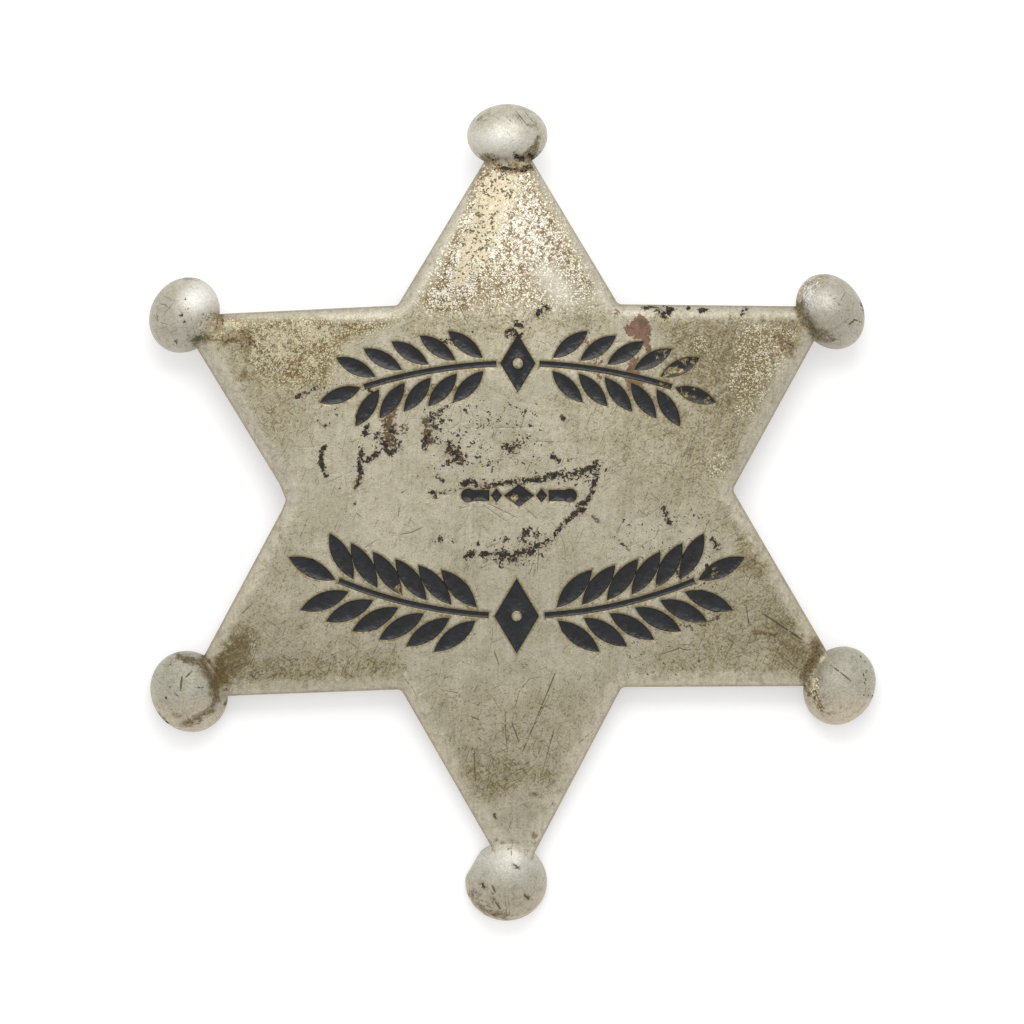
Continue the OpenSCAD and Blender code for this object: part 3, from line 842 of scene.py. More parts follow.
def face_plan():
    """The plan of the outer surface: its outline, balls, edge, marks, scratches and all between them"""
    plan = Plan()
    plan.area(spaced(STAR, OUTLINE_STEP, closed=True))
    for arm in range(len(ARMS)):
        plan.area(oval_ring(arm, 1.0, BALL_POINTS))
        for turn in BALL_TURNS[1:]:
            ring = oval_ring(arm, math.sin(math.radians(turn)), BALL_POINTS)
            plan.add(ring[marks_distance(ring) > KEEP_OFF])
    for ring in inner_rings(OUTLINE_STEP, EDGE_R * (1 - np.cos(np.radians(EDGE_TURNS)))):
        plan.add(ring)
    for grow in (LIP_OUT, 0.0, -WALL_IN):
        loops = [loop for mark in MARKS for loop in mark_loops(mark, grow)]
        for loop in loops + [loop for spray in SPRAYS for loop in stem_loops(spray, grow)]:
            plan.loop(loop)
    charted = [(deep, half * PHOTO_PIXEL, spaced(on_badge(line), SCRATCH_STEP))
               for deep, half, line in SCRATCHES]
    for deep, half, line in charted + hairlines():
        across = leftward(np.gradient(line, axis=0))
        fade = np.sin(np.linspace(*SCRATCH_ENDS, len(line)) * math.pi) ** 0.5
        on_face = depth_inside(line, STAR) > EDGE_CLEAR
        on_ball = ball_high(line, BALL_HIGH, BALL_SKIRT) > BALL_ABOVE
        clear = (marks_distance(line) > KEEP_OFF) & (on_face | on_ball)
        for side, share in ((-1, 0.0), (0, 1.0), (1, 0.0)):
            plan.add((line + side * half * across)[clear], (deep * share * fade)[clear])
    points = lattice(FACE_STEP)
    on_face = depth_inside(points, STAR) > EDGE_R + EDGE_CLEAR
    on_ball = ball_high(points, BALL_HIGH, BALL_SKIRT) > BALL_ABOVE
    plan.fill(points[on_face | on_ball], FACE_CLEAR * FACE_STEP)
    return plan


def border_of(triangles, count):
    """The corners round the outside of a sheet, in order"""
    pairs = np.vstack([triangles[:, [0, 1]], triangles[:, [1, 2]], triangles[:, [2, 0]]]).astype(np.int64)
    alone = pairs[~np.isin(pairs[:, 0] * count + pairs[:, 1], pairs[:, 1] * count + pairs[:, 0])]
    after = dict(alone.tolist())
    found = [int(alone[0, 0])]
    while after[found[-1]] != found[0]:
        found.append(after[found[-1]])
    return found


def back_plan(border):
    """The plan of the hollow back, inside the border of the outer surface"""
    plan = Plan()
    plan.area(border)
    for ring in inner_rings(2 * OUTLINE_STEP, (RIM_W, RIM_W + RIM_FLARE)):
        plan.add(ring)
    for arm in range(len(ARMS)):
        for turn in BALL_TURNS:
            plan.add(oval_ring(arm, math.sin(math.radians(turn)), BALL_POINTS // 2, BALL_WALL))
    points = lattice(BACK_STEP)
    in_dish = depth_inside(points, STAR) > RIM_W + RIM_FLARE
    in_ball = ball_high(points, 1, 0, BALL_WALL) > BACK_BALL_ABOVE
    plan.fill(points[in_dish | in_ball], BACK_CLEAR * BACK_STEP)
    return plan


# Meshes in place on the resting badge

def rest_matrix():
    """Takes the badge from its own millimetres, face up, to metres where it rests"""
    mount = frame["record"]["mounts"][0]
    tilt = math.atan2(mount["axis"][1], -mount["axis"][2])
    turn = Matrix.Rotation(tilt, 4, "X")
    stem = turn @ Vector((0, PIN_Y, PIN_STEM_Z))
    rise = mount["pos_m"][2] / MM - stem.z
    return Matrix.Scale(MM, 4) @ Matrix.Translation((0, 0, rise)) @ turn


REST = rest_matrix()


def mesh_of(name, corners, faces, fields, flat_map=None):
    """A mesh in place on the resting badge, with a number at each corner for each named field"""
    mesh = bpy.data.meshes.new(name)
    mesh.from_pydata(np.asarray(corners).tolist(), [], [list(map(int, f)) for f in faces])
    for field, values in fields.items():
        mesh.attributes.new(field, "FLOAT", "POINT").data.foreach_set("value", np.asarray(values, np.float32))
    if flat_map is not None:
        mesh.uv_layers.new(name="OFBake").data.foreach_set("uv", flat_map.ravel())
    mesh.transform(REST)
    mesh.validate()
    mesh.update()
    return mesh


CRISP_ANGLE = math.radians(40)


def finish_piece(name, mesh, node, material):
    """Puts a mesh in the scene as a piece that stands for a node of the frame"""
    piece = bpy.data.objects.new(name, mesh)
    bpy.context.scene.collection.objects.link(piece)
    mesh.materials.clear()
    mesh.materials.append(material)
    mesh.shade_smooth()
    mesh.set_sharp_from_angle(angle=CRISP_ANGLE)
    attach(piece, "root")
    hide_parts(node)


# The star plate
GROOVE_DEEP = 0.014
SPATTER_SHARE = 0.5
INSET_KEPT = 3
BALL_BLEND = (-0.2, 0.3)
HALO_W = 0.5

# The flat map: scale and middle of the face and of the back, then the strips that the edge is laid in
FACE_MAP = (0.0115, (0.366, 0.410))
BACK_MAP = (0.0041, (0.862, 0.150))
EDGE_MAP_ROW = 85.0
EDGE_MAP_PITCH = 0.03
EDGE_MAP_AT = (0.008, 0.83)


def bake_map(corners, triangles, back_triangles, wall):
    """Where the corners of each face lie on the flat map: the face, the back and the edge"""
    scale, middle = FACE_MAP
    face = corners[np.ravel(triangles), :2] * scale + middle
    back_scale, back_middle = BACK_MAP
    back = corners[np.ravel(back_triangles), :2] * back_scale + back_middle
    wall = np.array(wall)
    spans = np.hypot(*(corners[wall[:, 3], :2] - corners[wall[:, 0], :2]).T)
    starts = np.cumsum(spans) - spans
    row = starts // EDGE_MAP_ROW
    along = (starts - row * EDGE_MAP_ROW)[:, None] + spans[:, None] * [0, 0, 1, 1]
    up = corners[wall, 2] * scale + row[:, None] * EDGE_MAP_PITCH
    edge = np.stack([along * scale, up], 2).reshape(-1, 2) + EDGE_MAP_AT
    return np.vstack([face, back, edge])


def star_mesh():
    """The struck star: outer surface, edge, rim and hollow back in one closed skin"""
    flat, deep, triangles = face_plan().cut()
    top = np.column_stack([flat, face_height(flat) - GROOVE_DEEP * deep])
    border = border_of(triangles, len(flat))
    back_flat, _, back_triangles = back_plan(flat[border]).cut()
    back = np.column_stack([back_flat, hollow_height(back_flat)])
    back_border = border_of(back_triangles, len(back_flat))
    start = np.argmin(np.hypot(*(back_flat[back_border] - flat[border[0]]).T))
    back_border = [len(top) + i for i in back_border[start:] + back_border[:start]]
    wall = []
    for i, here in enumerate(border):
        on = (i + 1) % len(border)
        wall.append((here, back_border[i], back_border[on], border[on]))
    corners = np.vstack([top, back])
    faces = [*triangles, *(back_triangles[:, ::-1] + len(top)), *wall]
    none = np.zeros(len(back))
    inset = depth_inside(flat, STAR)
    ball = ball_high(flat, BALL_HIGH, BALL_SKIRT) - np.where(inset > 0, DEPTH, 0)
    fields = {
        "plating": patch_field(flat, PLATING),
        "tarnish": patch_field(flat, TARNISH),
        "grime_and_shade": trail_field(flat, GRIME_AND_SHADE),
        "black": trail_field(flat, BLACK),
        "specks": np.maximum(patch_field(flat, SPECKS), SPATTER_SHARE * trail_field(flat, SPATTER)),
        "brown": trail_field(flat, BROWN),
        "rust": patch_field(flat, RUST),
        "green": trail_field(flat, VERDIGRIS),
        "tone_and_shading": spot_field(flat, TONE_AND_SHADING),
        "polish_and_highlight": spot_field(flat, POLISH_AND_HIGHLIGHT),
        "groove": deep,
        "inset": np.clip(inset, 0, INSET_KEPT),
        "ball": smooth_step(ball, *BALL_BLEND),
        "under": under_side(flat),
        "halo": np.clip(1 - marks_distance(flat) / HALO_W, 0, 1),
    }
    fields = {name: np.append(values, none) for name, values in fields.items()}
    fields["back"] = np.append(np.zeros(len(top)), np.ones(len(back)))
    flat_map = bake_map(corners, triangles, back_triangles[:, ::-1] + len(top), wall)
    return mesh_of("star_plate_metal", corners, faces, fields, flat_map)


# Node trees, written as sums.
# How far a noise strays from its middle, and how far one of some details and roughnesses does
USUAL_SPREAD = 0.10
NOISE_SPREAD = {(2, 0.6): 0.08, (4, 0.7): 0.065, (4, 0.65): 0.07}


class Wire:
    """One output of a node, on which Python's sums add Math nodes"""

    def __init__(self, recipe, socket):
        self.recipe = recipe
        self.socket = socket

    def __add__(self, other):
        return self.recipe.sum("ADD", self, other)

    def __sub__(self, other):
        return self.recipe.sum("SUBTRACT", self, other)

    def __rsub__(self, other):
        return self.recipe.sum("SUBTRACT", other, self)

    def __mul__(self, other):
        return self.recipe.sum("MULTIPLY", self, other)

    def __truediv__(self, other):
        return self.recipe.sum("DIVIDE", self, other)

    __radd__ = __add__
    __rmul__ = __mul__

    def other(self, name):
        """Another output of the same node"""
        return Wire(self.recipe, self.socket.node.outputs[name])

    def strays(self, spread):
        """Notes how far a noise strays from its middle"""
        self.spread = spread
        return self


# How many spreads from the middle a noise is cut where it covers all, and where winding strokes do
PATCH_REACH = 2.3
WORM_REACH = 1.35

# The smallest dot and the softness of its edge, and the shape and the softness of a fine stroke
DOT_LEAST = 0.25
DOT_EDGE = 0.07
HAIR_SHAPE = (1.6, 0.085, 0.5)
HAIR_SOFT = 0.35
NEAR_CORE = 0.35


class Recipe:
    """A node tree, to which one method adds any node"""

    def __init__(self, tree):
        self.tree = tree
        self.tree.nodes.clear()

    def add(self, kind, settings=None, sockets=None, out=0):
        node = self.tree.nodes.new(kind)
        for name, value in (settings or {}).items():
            setattr(node, name, value)
        for name, value in (sockets or {}).items():
            if isinstance(value, Wire):
                self.tree.links.new(value.socket, node.inputs[name])
            else:
                node.inputs[name].default_value = value
        return Wire(self, node.outputs[out]) if len(node.outputs) else None

    def sum(self, operation, *values, clamp=False):
        settings = {"operation": operation, "use_clamp": clamp}
        return self.add("ShaderNodeMath", settings, dict(enumerate(values)))

    def clamped(self, value):
        return self.sum("ADD", value, 0.0, clamp=True)

    def larger(self, a, b):
        return self.sum("MAXIMUM", a, b)

    def step(self, value, low, high):
        """0 below one value, 1 above another and smooth between"""
        return self.add("ShaderNodeMapRange", {"interpolation_type": "SMOOTHSTEP"},
                        {"Value": value, "From Min": low, "From Max": high})

    def vector(self, operation, a, b=(0, 0, 0)):
        return self.add("ShaderNodeVectorMath", {"operation": operation}, {0: a, 1: b})

    def noise(self, place, scale, detail, rough):
        made = self.add("ShaderNodeTexNoise", None, {
            "Vector": place, "Scale": scale, "Detail": detail, "Roughness": rough})
        return made.strays(NOISE_SPREAD.get((detail, rough), USUAL_SPREAD))

    def three_noises(self, place, scale, detail, rough):
        """Three noises of one scale that don't follow each other"""
        made = self.noise(place, scale, detail, rough)
        parts = self.add("ShaderNodeSeparateColor", None, {"Color": made.other("Color")}, out="Red")
        return [part.strays(made.spread) for part in (parts, parts.other("Green"), parts.other("Blue"))]

    def patches(self, noise, share, soft=0.5):
        """Where a noise covers about this share of the surface"""
        return self.step((noise - 0.5) / noise.spread + share * (2 * PATCH_REACH) - PATCH_REACH, -soft, soft)

    def worms(self, noise, share, soft=0.15):
        """Winding strokes in a noise that cover about this share of the surface"""
        away = self.sum("ABSOLUTE", noise - 0.5) / noise.spread
        return self.step(share * WORM_REACH - away, -soft, soft)

    def dots(self, place, scale, size):
        """Round spots of many sizes, none where the size is zero"""
        cell = self.add("ShaderNodeTexVoronoi", None, {"Vector": place, "Scale": scale}, out="Distance")
        chance = self.add("ShaderNodeSeparateColor", None, {"Color": cell.other("Color")}, out="Red")
        return self.step(size * (DOT_LEAST + chance) - cell, 0.0, DOT_EDGE)

    def hairs(self, place, turn, scale, share):
        """Fine strokes that all run one way"""
        along = self.add("ShaderNodeMapping", {"vector_type": "TEXTURE"}, {
            "Vector": place, "Rotation": (0, 0, math.radians(turn)), "Scale": HAIR_SHAPE})
        return self.patches(self.noise(along, scale, 1, 0.5), share, HAIR_SOFT)

    def mix(self, share, a, b):
        """The colour a, covered with b by a share: nodes, or the red, green and blue of a screen"""
        a, b = (colour(*value) if isinstance(value, tuple) else value for value in (a, b))
        return self.add("ShaderNodeMix", {"data_type": "RGBA"}, {0: share, 6: a, 7: b}, out=2)

    def field(self, name):
        return self.add("ShaderNodeAttribute", {"attribute_name": name}, out="Fac")

    def millimetres(self):
        """Where on the resting badge a point of the surface is"""
        return self.scaled(self.add("ShaderNodeTexCoord", out="Object"), 1 / MM)

    def scaled(self, value, scale):
        return self.add("ShaderNodeVectorMath", {"operation": "SCALE"}, {0: value, "Scale": scale})

    def joined(self, x=0.0, y=0.0, z=0.0):
        """A vector from its parts"""
        return self.add("ShaderNodeCombineXYZ", None, {"X": x, "Y": y, "Z": z})

    def parted(self, vector):
        """The X, Y and Z of a vector"""
        x = self.add("ShaderNodeSeparateXYZ", None, {0: vector})
        return x, x.other("Y"), x.other("Z")

    def surface(self, height, sockets):
        """The shader, with relief from a height in millimetres"""
        bump = self.add("ShaderNodeBump", None, {"Strength": 1.0, "Distance": MM, "Height": height})
        bsdf = self.add("ShaderNodeBsdfPrincipled", None, {**sockets, "Normal": bump})
        self.add("ShaderNodeOutputMaterial", None, {"Surface": bsdf})

    def near(self, mm, pixel, reach):
        """1 round a place charted in the photograph, fading to 0 at a reach in millimetres"""
        place = REST @ Vector((*on_badge(pixel)[0], DEPTH)) / MM
        away = self.add("ShaderNodeVectorMath", {"operation": "DISTANCE"}, {0: mm, 1: place}, out="Value")
        return 1 - self.step(away, NEAR_CORE * reach, reach)


def colour(red, green, blue):
    """A colour as a shader takes it, from the numbers of a screen"""
    shares = [c / 255 for c in (red, green, blue)]
    return tuple(c / 12.92 if c < 0.04045 else ((c + 0.055) / 1.055) ** 2.4 for c in shares) + (1.0,)


def new_material(name, kind=Recipe):
    material = bpy.data.materials.new(name)
    material.use_nodes = True
    return material, kind(material.node_tree)


# Materials

class WornMetal(Recipe):
    """The star's metal, built up in layers"""

    def __init__(self, tree):
        super().__init__(tree)
        mm = self.millimetres()
        self.mm = mm
        self.fine = self.noise(mm, 8.0, 1, 0.5)
        self.winding = self.noise(mm, 3.6, 1, 0.5)
        self.grain, self.flaking, self.spotting = self.three_noises(mm, 4.6, 2, 0.6)
        self.crazing = self.noise(mm, 4.4, 1, 0.5)
        self.veining = self.noise(mm, 2.2, 1, 0.5)
        self.clotting, self.clustering, _ = self.three_noises(mm, 3.4, 2, 0.6)
        self.mottle, self.staining, self.crusting = self.three_noises(mm, 1.6, 4, 0.7)
        self.cloud, self.drift, _ = self.three_noises(mm, 0.35, 3, 0.6)
        self.bent = self.vector("ADD", mm, self.scaled(self.noise(mm, 3.0, 1, 0.5).other("Color"), 0.8))
        across, up, _ = self.parted(mm)
        self.upper = self.step(up, -14, 6)
        self.golden = self.step(up, 14.5, 20)
        slanting = across - (up - 25) * 0.45
        slanting = slanting + (self.staining - 0.5) * 14
        self.warm = self.step(up, 12, 18) * (1 - self.step(slanting, -1.3, 1.3))
        self.rightward = self.step(across, -5, 5)
        inset = self.field("inset")
        self.ball = self.field("ball")
        self.back = self.field("back")
        self.rim = 1 - self.step(inset + (self.staining - 0.5) * 1.2 + (self.drift - 0.5) * 1.2, 0.5, 1.6)
        self.brink_shade = 1 - self.step(inset + (self.grain - 0.5) * 0.5, 0.05, 0.30)
        self.smooth = self.larger(self.rim, self.ball) * (1 - self.back)

    def lay(self, share, over):
        """Covers what is there so far with a colour by a share"""
        self.metal = self.mix(share, self.metal, over)

    def bare(self):
        """Bare metal with a mottle and light scratches"""
        self.metal = self.mix(self.step(self.cloud, 0.4, 0.6), (181, 174, 154), (171, 165, 144))
        self.lay(self.patches(self.mottle, 0.35, 1.4) * 0.45, (158, 149, 120))
        self.lay(self.patches(self.flaking, 0.25, 0.8) * 0.25, (188, 183, 164))
        self.light = self.larger(self.hairs(self.mm, 12, 1.1, 0.12), self.hairs(self.mm, 80, 1.1, 0.12))
        self.lay(self.light * 0.25, (206, 201, 184))

    def rubbed(self):
        """The rim and the balls, rubbed smooth and pale"""
        under = self.step(self.field("under") + (self.mottle - 0.5) * 1.5, -0.3, 0.6)
        low = self.mix(under, (192, 190, 177), (209, 198, 179))
        low = self.mix(self.ball, (214, 206, 184), low)
        pale = self.mix(self.upper, low, self.mix(self.ball, (198, 192, 175), (192, 188, 175)))
        pale = self.mix(self.patches(self.staining, 0.25, 1.2) * 0.42, pale, (160, 151, 122))
        pale = self.mix(self.patches(self.mottle, 0.35, 0.7) * 0.34, pale, (164, 157, 135))
        pale = self.mix(self.patches(self.flaking, 0.30, 0.6) * 0.30, pale, (214, 210, 200))
        curved = self.hairs(self.bent, 30, 1.0, 0.12 + (self.crusting - 0.5) * 0.8)
        pale = self.mix(curved * 0.42 * self.ball, pale, (136, 126, 102))
        self.lay(self.smooth * (0.70 + 0.15 * self.larger(self.upper, self.ball)), pale)

    def tarnished(self):
        """Olive tarnish: a thin wash, grains and fine strokes"""
        tarnish = self.field("tarnish") + self.step(self.cloud, 0.50, 0.62) * 0.10
        tarnish = (tarnish + 0.5 * self.back) * (1 - 0.6 * self.rim * (1 - self.ball))
        self.wash = self.clamped(tarnish * (1 + (self.staining - 0.5) * 5))
        self.lay(self.wash * 0.66, (140, 126, 89))
        self.lay(self.step(tarnish, 0.70, 1.3) * 0.6, (104, 86, 56))
        grains = self.patches(self.grain, 0.05 + tarnish * 0.50, 0.7)
        self.lay(grains * 0.55 * (1 - 0.7 * self.smooth), (104, 90, 57))
        self.lay(self.light * self.wash * 0.35, (196, 188, 160))
        strokes = 0
        crossing = ((68, 0.01, self.mottle), (24, -0.01, self.crusting), (-38, -0.03, self.staining))
        for turn, more, noise in crossing:
            share = tarnish * 0.30 + more + (noise - 0.5) * 1.0
            strokes = self.larger(strokes, self.hairs(self.mm, turn, 1.0, share))
        self.lay(strokes * 0.56 * (1 - 0.75 * self.smooth), (86, 78, 50))

    def plated(self):
        """Plating that is left in flakes, with veins and pits where it is nearly whole, then painted
        highlights and rubbed bright spots
        """
        plating = self.field("plating")
        ground = self.mix(self.rightward, (130, 116, 76), (126, 110, 66))
        ground = self.mix(self.golden, ground, (134, 114, 72))
        self.lay(self.step(plating, 0.10, 0.6) * 0.75, ground)
        polish_and_highlight = self.field("polish_and_highlight")
        share = plating * (1 - 0.5 * self.rim * (1 - self.ball))
        share = share * (1 - 0.9 * self.clamped(polish_and_highlight * self.golden))
        share = share + (self.staining - 0.5) * (1.6 - 0.6 * self.golden) * self.step(plating, 0.02, 0.3)
        between = self.worms(self.crazing, (1 - share) * (1.25 - 0.25 * share), 0.3)
        self.flake = (1 - between) * self.step(plating, 0.04, 0.2)
        plate = self.mix(self.rightward, (187, 180, 151), (201, 195, 172))
        plate = self.mix(self.larger(self.golden, self.ball), plate, (216, 211, 196))
        plate = self.mix(self.ball * (1 - self.upper), plate, (232, 222, 190))
        whole = self.warm * self.step(plating + (self.drift - 0.5) * 0.8, 0.70, 0.95)
        plate = self.mix(whole, plate, (198, 187, 161))
        self.lay(self.flake, plate)
        bright = self.patches(self.spotting, 0.35, 0.25) * self.flake
        bright = bright * (1 - whole) * (0.05 + 0.20 * self.rightward + 0.65 * self.golden)
        self.lay(bright, (236, 232, 220))
        veins = self.larger(self.worms(self.veining, 0.30, 0.15), self.worms(self.winding, 0.24, 0.15))
        veins = veins * self.step(plating, 0.2, 0.5) * self.step(self.mottle, 0.42, 0.52)
        veins = veins * (1 - 0.5 * self.rim) * (1 - 0.85 * whole)
        self.lay(veins * 0.85, (108, 88, 54))
        pit = self.step(plating + (self.mottle - 0.5) * 1.2, 0.35, 0.75)
        pitted = self.dots(self.bent, 3.0, 0.46 * pit * self.warm)
        self.lay(pitted * 0.85, (72, 68, 42))
        size = (0.52 - 0.06 * self.golden) * pit * (1 - self.warm)
        speckled = self.dots(self.bent, 3.3 - 0.9 * self.ball, size)
        self.lay(speckled * 0.75, self.mix(self.golden, (78, 70, 44), (104, 84, 52)))
        # Painted highlights on the balls, and a few spots rubbed bright on the top arm
        self.lay(polish_and_highlight * 0.8, self.mix(self.ball, (222, 219, 206), (244, 243, 238)))

    def soiled_and_shaded(self):
        """Painted shade as a brown line at the very edge, dirt and painted shade in the creases, green and
        rust
        """
        # Painted shade: a brown line along the very edge of the star
        self.lay(self.brink_shade * 0.5 * (1 - self.ball), (130, 112, 90))
        # Dirt in the creases of the balls, partly painted shade where the necks meet the arms
        grime_and_shade = self.field("grime_and_shade")
        edge = self.step(grime_and_shade, 0.02, 0.3)
        film = self.step(grime_and_shade + (self.staining - 0.5) * 2.4 * edge, 0.05, 0.9)
        self.lay(film * 0.70, (112, 94, 55))
        clots = self.patches(self.clustering, grime_and_shade * 0.62 - 0.16 + (self.mottle - 0.5) * 1.6, 0.5)
        grains = self.patches(self.grain, grime_and_shade * 0.55 - 0.12, 0.5)
        self.dirt_and_shade = self.larger(clots, grains * 0.8) * edge
        self.lay(self.dirt_and_shade * 0.70, (74, 61, 34))
        green = self.field("green")
        green = self.patches(self.clotting, green * 1.1, 0.4) * self.step(green, 0, 0.2)
        self.lay(green * 0.75, (80, 98, 74))
        rust = self.field("rust")
        rusty = self.patches(self.clotting, rust * 1.2 - 0.1 + (self.staining - 0.5) * 0.8, 0.8)
        self.rusty = rusty * self.step(rust, 0.15, 0.5)
        deep = self.mix(self.step(self.mottle, 0.45, 0.6), (116, 76, 58), (86, 56, 44))
        self.lay(self.rusty * 0.85, deep)

    def blackened(self):
        """Black corrosion with brown round it and specks beside it, and dirt with painted shade round the
        lips of the recesses
        """
        black, brown, specks = self.field("black"), self.field("brown"), self.field("specks")
        self.lay(self.larger(brown * 0.34, self.step(black, 0.05, 0.8) * 0.30), (122, 98, 70))
        brown = self.larger(brown, black * 0.6)
        browned = self.patches(self.spotting, brown * 0.86 + (self.crusting - 0.5) * 2.4, 0.5)
        self.lay(browned * self.step(brown, 0.03, 0.25) * 0.85, (80, 60, 42))
        # Dirt and painted shade round the lips of the recesses
        lip = self.step(self.field("halo") + (self.grain - 0.5) * 0.8, 0.50, 1.0)
        self.lay(lip * 0.75, (112, 98, 62))
        solid = self.patches(self.clotting, black * 0.78 - 0.04 + (self.crusting - 0.5) * 2.0, 0.22)
        solid = solid * self.step(black, 0.10, 0.40)
        crowd = specks + (self.crusting - 0.5) * 1.8 * self.step(specks, 0, 0.2)
        speck = self.larger(self.dots(self.bent, 2.0, crowd * 0.60), self.dots(self.bent, 3.6, crowd * 0.52))
        self.dark = self.larger(solid, self.larger(speck, self.dots(self.bent, 3.0, black * 0.42)))
        ink = self.mix(self.step(self.staining, 0.53, 0.60), (30, 29, 30), (62, 48, 36))
        self.lay(self.dark * 0.94, ink)
        self.lay(self.step(self.field("groove"), 0.03, 0.5) * 0.75, (74, 68, 50))


def worn_metal():
    """Nickel silver with patches of bright plating, olive tarnish, dirt, black corrosion and rust, with
    painted highlights on the balls and painted shade in the creases, along the edge and round the recesses
    """
    material, recipe = new_material("worn_nickel_silver", WornMetal)
    layers = (recipe.bare, recipe.rubbed, recipe.tarnished, recipe.plated, recipe.soiled_and_shaded, recipe.blackened)
    for layer in layers:
        layer()
    fine, ball = recipe.fine, recipe.ball
    streaks = recipe.noise(recipe.vector("MULTIPLY", recipe.mm, (3.5, 0.35, 1.0)), 1.0, 2, 0.6)
    # The tone field is partly painted light: the bottom ball lit on top and shaded below
    shade = 1 + (fine - 0.5) * 0.55 + (streaks - 0.5) * 0.35 * (1 - ball) + recipe.field("tone_and_shading") * 0.35
    height = fine * 0.010 + recipe.flake * 0.006 - recipe.dark * 0.02 + recipe.mottle * 0.02
    rough = 0.47 + recipe.wash * 0.1 + (recipe.grain - 0.5) * 0.3 + ball * (0.12 - 0.06 * recipe.upper)
    shiny = 0.95 - 0.85 * recipe.dark - 0.5 * recipe.dirt_and_shade - 0.5 * recipe.rusty - 0.3 * recipe.wash
    recipe.surface(height, {
        "Base Color": recipe.scaled(recipe.metal, shade),
        "Metallic": recipe.clamped(shiny),
        "Roughness": recipe.clamped(rough + recipe.dark * 0.3 + recipe.rim * 0.14),
        "Specular IOR Level": 0.25,
    })
    return material


# Where the enamel is worn off to the metal: place in the photograph, reach in millimetres, how much
ENAMEL_CHIPS = [
    ((680, 370), 3.4, 0.5), ((694, 398), 2.4, 0.34), ((514, 496), 0.6, 0.8), ((400, 590), 0.8, 0.6),
    ((652, 586), 0.8, 0.6), ((712, 572), 0.8, 0.5), ((478, 400), 1.2, 0.45),
]


def black_enamel():
    """Glossy black enamel, slightly hollow, with rubbed specks and chips, and painted shade along the edges
    of each stroke
    """
    material, recipe = new_material("black_enamel")
    mm = recipe.millimetres()
    across = recipe.field("across")
    fine = recipe.noise(mm, 6.0, 3, 0.6)
    patchy = recipe.noise(recipe.vector("ADD", mm, (5, 9, 0)), 1.4, 4, 0.65)
    enamel = recipe.mix(recipe.step(patchy, 0.38, 0.62), (12, 12, 14), (27, 28, 32))
    # Painted shade: darker along the edges of each stroke
    enamel = recipe.mix(recipe.step(across + (fine - 0.5) * 0.4, 0.75, 1.0) * 0.8, enamel, (8, 8, 9))
    enamel = recipe.mix(recipe.step(fine, 0.66, 0.72) * 0.7, enamel, (80, 72, 48))
    chipped = 0
    for pixel, reach, much in ENAMEL_CHIPS:
        spot = recipe.near(mm, pixel, reach) * much
        flaked = recipe.patches(patchy, spot + (fine - 0.5) * 1.0, 0.3)
        chipped = recipe.larger(chipped, flaked * recipe.step(spot, 0.02, 0.2))
    chipped = chipped * (1 - 0.8 * recipe.step(across, 0.75, 0.95))
    metal = recipe.mix(recipe.step(fine, 0.4, 0.6), (162, 150, 116), (104, 92, 64))
    enamel = recipe.mix(chipped, enamel, metal)
    lumps = recipe.noise(recipe.vector("ADD", mm, (3, 1, 0)), 2.2, 1, 0.5)
    recipe.surface(patchy * 0.02 + fine * 0.006 + lumps * 0.06 - chipped * 0.03, {
        "Base Color": enamel,
        "Metallic": chipped * 0.8,
        "Roughness": 0.22 + fine * 0.2 + chipped * 0.2,
        "Specular IOR Level": 0.4,
    })
    return material


def dull_metal():
    """Unpolished metal of the pin, darker in patches"""
    material, recipe = new_material("dull_pin_metal")
    mm = recipe.millimetres()
    grain = recipe.noise(mm, 4.0, 3, 0.6)
    patchy = recipe.noise(mm, 0.8, 4, 0.6)
    metal = recipe.mix(recipe.step(patchy, 0.4, 0.65), (178, 170, 146), (120, 110, 84))
    recipe.surface(grain * 0.02, {"Base Color": metal, "Metallic": 0.9, "Roughness": 0.35 + patchy * 0.2})
    return material


# Enamel bodies

def at_height(points, z):
    return np.column_stack([points, np.full(len(points), z)])


def filled_ring(outer, inner, rows, low, top, hollow):
    """A flat body between an outer and an inner loop of as many points, its top a little hollow"""
    count = len(outer)
    shares = np.linspace(0, 1, rows + 1)
    tops = top - hollow * (1 - (2 * shares - 1) ** 2)
    rings = [at_height(inner + (outer - inner) * s, z) for s, z in zip(shares, tops)]
    rings += [at_height(outer, low), at_height(inner, low)]
    faces = []
    for k in range(len(rings)):
        on = (k + 1) % len(rings)
        for i in range(count):
            j = (i + 1) % count
            faces.append((k * count + i, on * count + i, on * count + j, k * count + j))
    across = np.concatenate([np.full(count, abs(2 * s - 1)) for s in shares] + [np.ones(2 * count)])
    return np.vstack(rings), faces, across


def filled_shape(outer, rows, low, top, hollow):
    """A flat body inside a loop, its top a little hollow towards the middle"""
    count, middle = len(outer), outer.mean(0)
    shares = np.linspace(0, 1, rows + 1)[1:]
    rings = [at_height(middle + (outer - middle) * s, top - hollow * (1 - s ** 2)) for s in shares]
    rings.append(at_height(outer, low))
    corners = np.vstack([*rings, [[*middle, top - hollow], [*middle, low]]])
    faces = []
    for i in range(count):
        j = (i + 1) % count
        faces.append((len(corners) - 2, i, j))
        for k in range(len(rings) - 1):
            faces.append((k * count + i, (k + 1) * count + i, (k + 1) * count + j, k * count + j))
        faces.append(((len(rings) - 1) * count + i, len(corners) - 1, (len(rings) - 1) * count + j))
    across = np.concatenate([np.full(count, s) for s in shares] + [np.ones(count), [0, 1]])
    return corners, faces, across


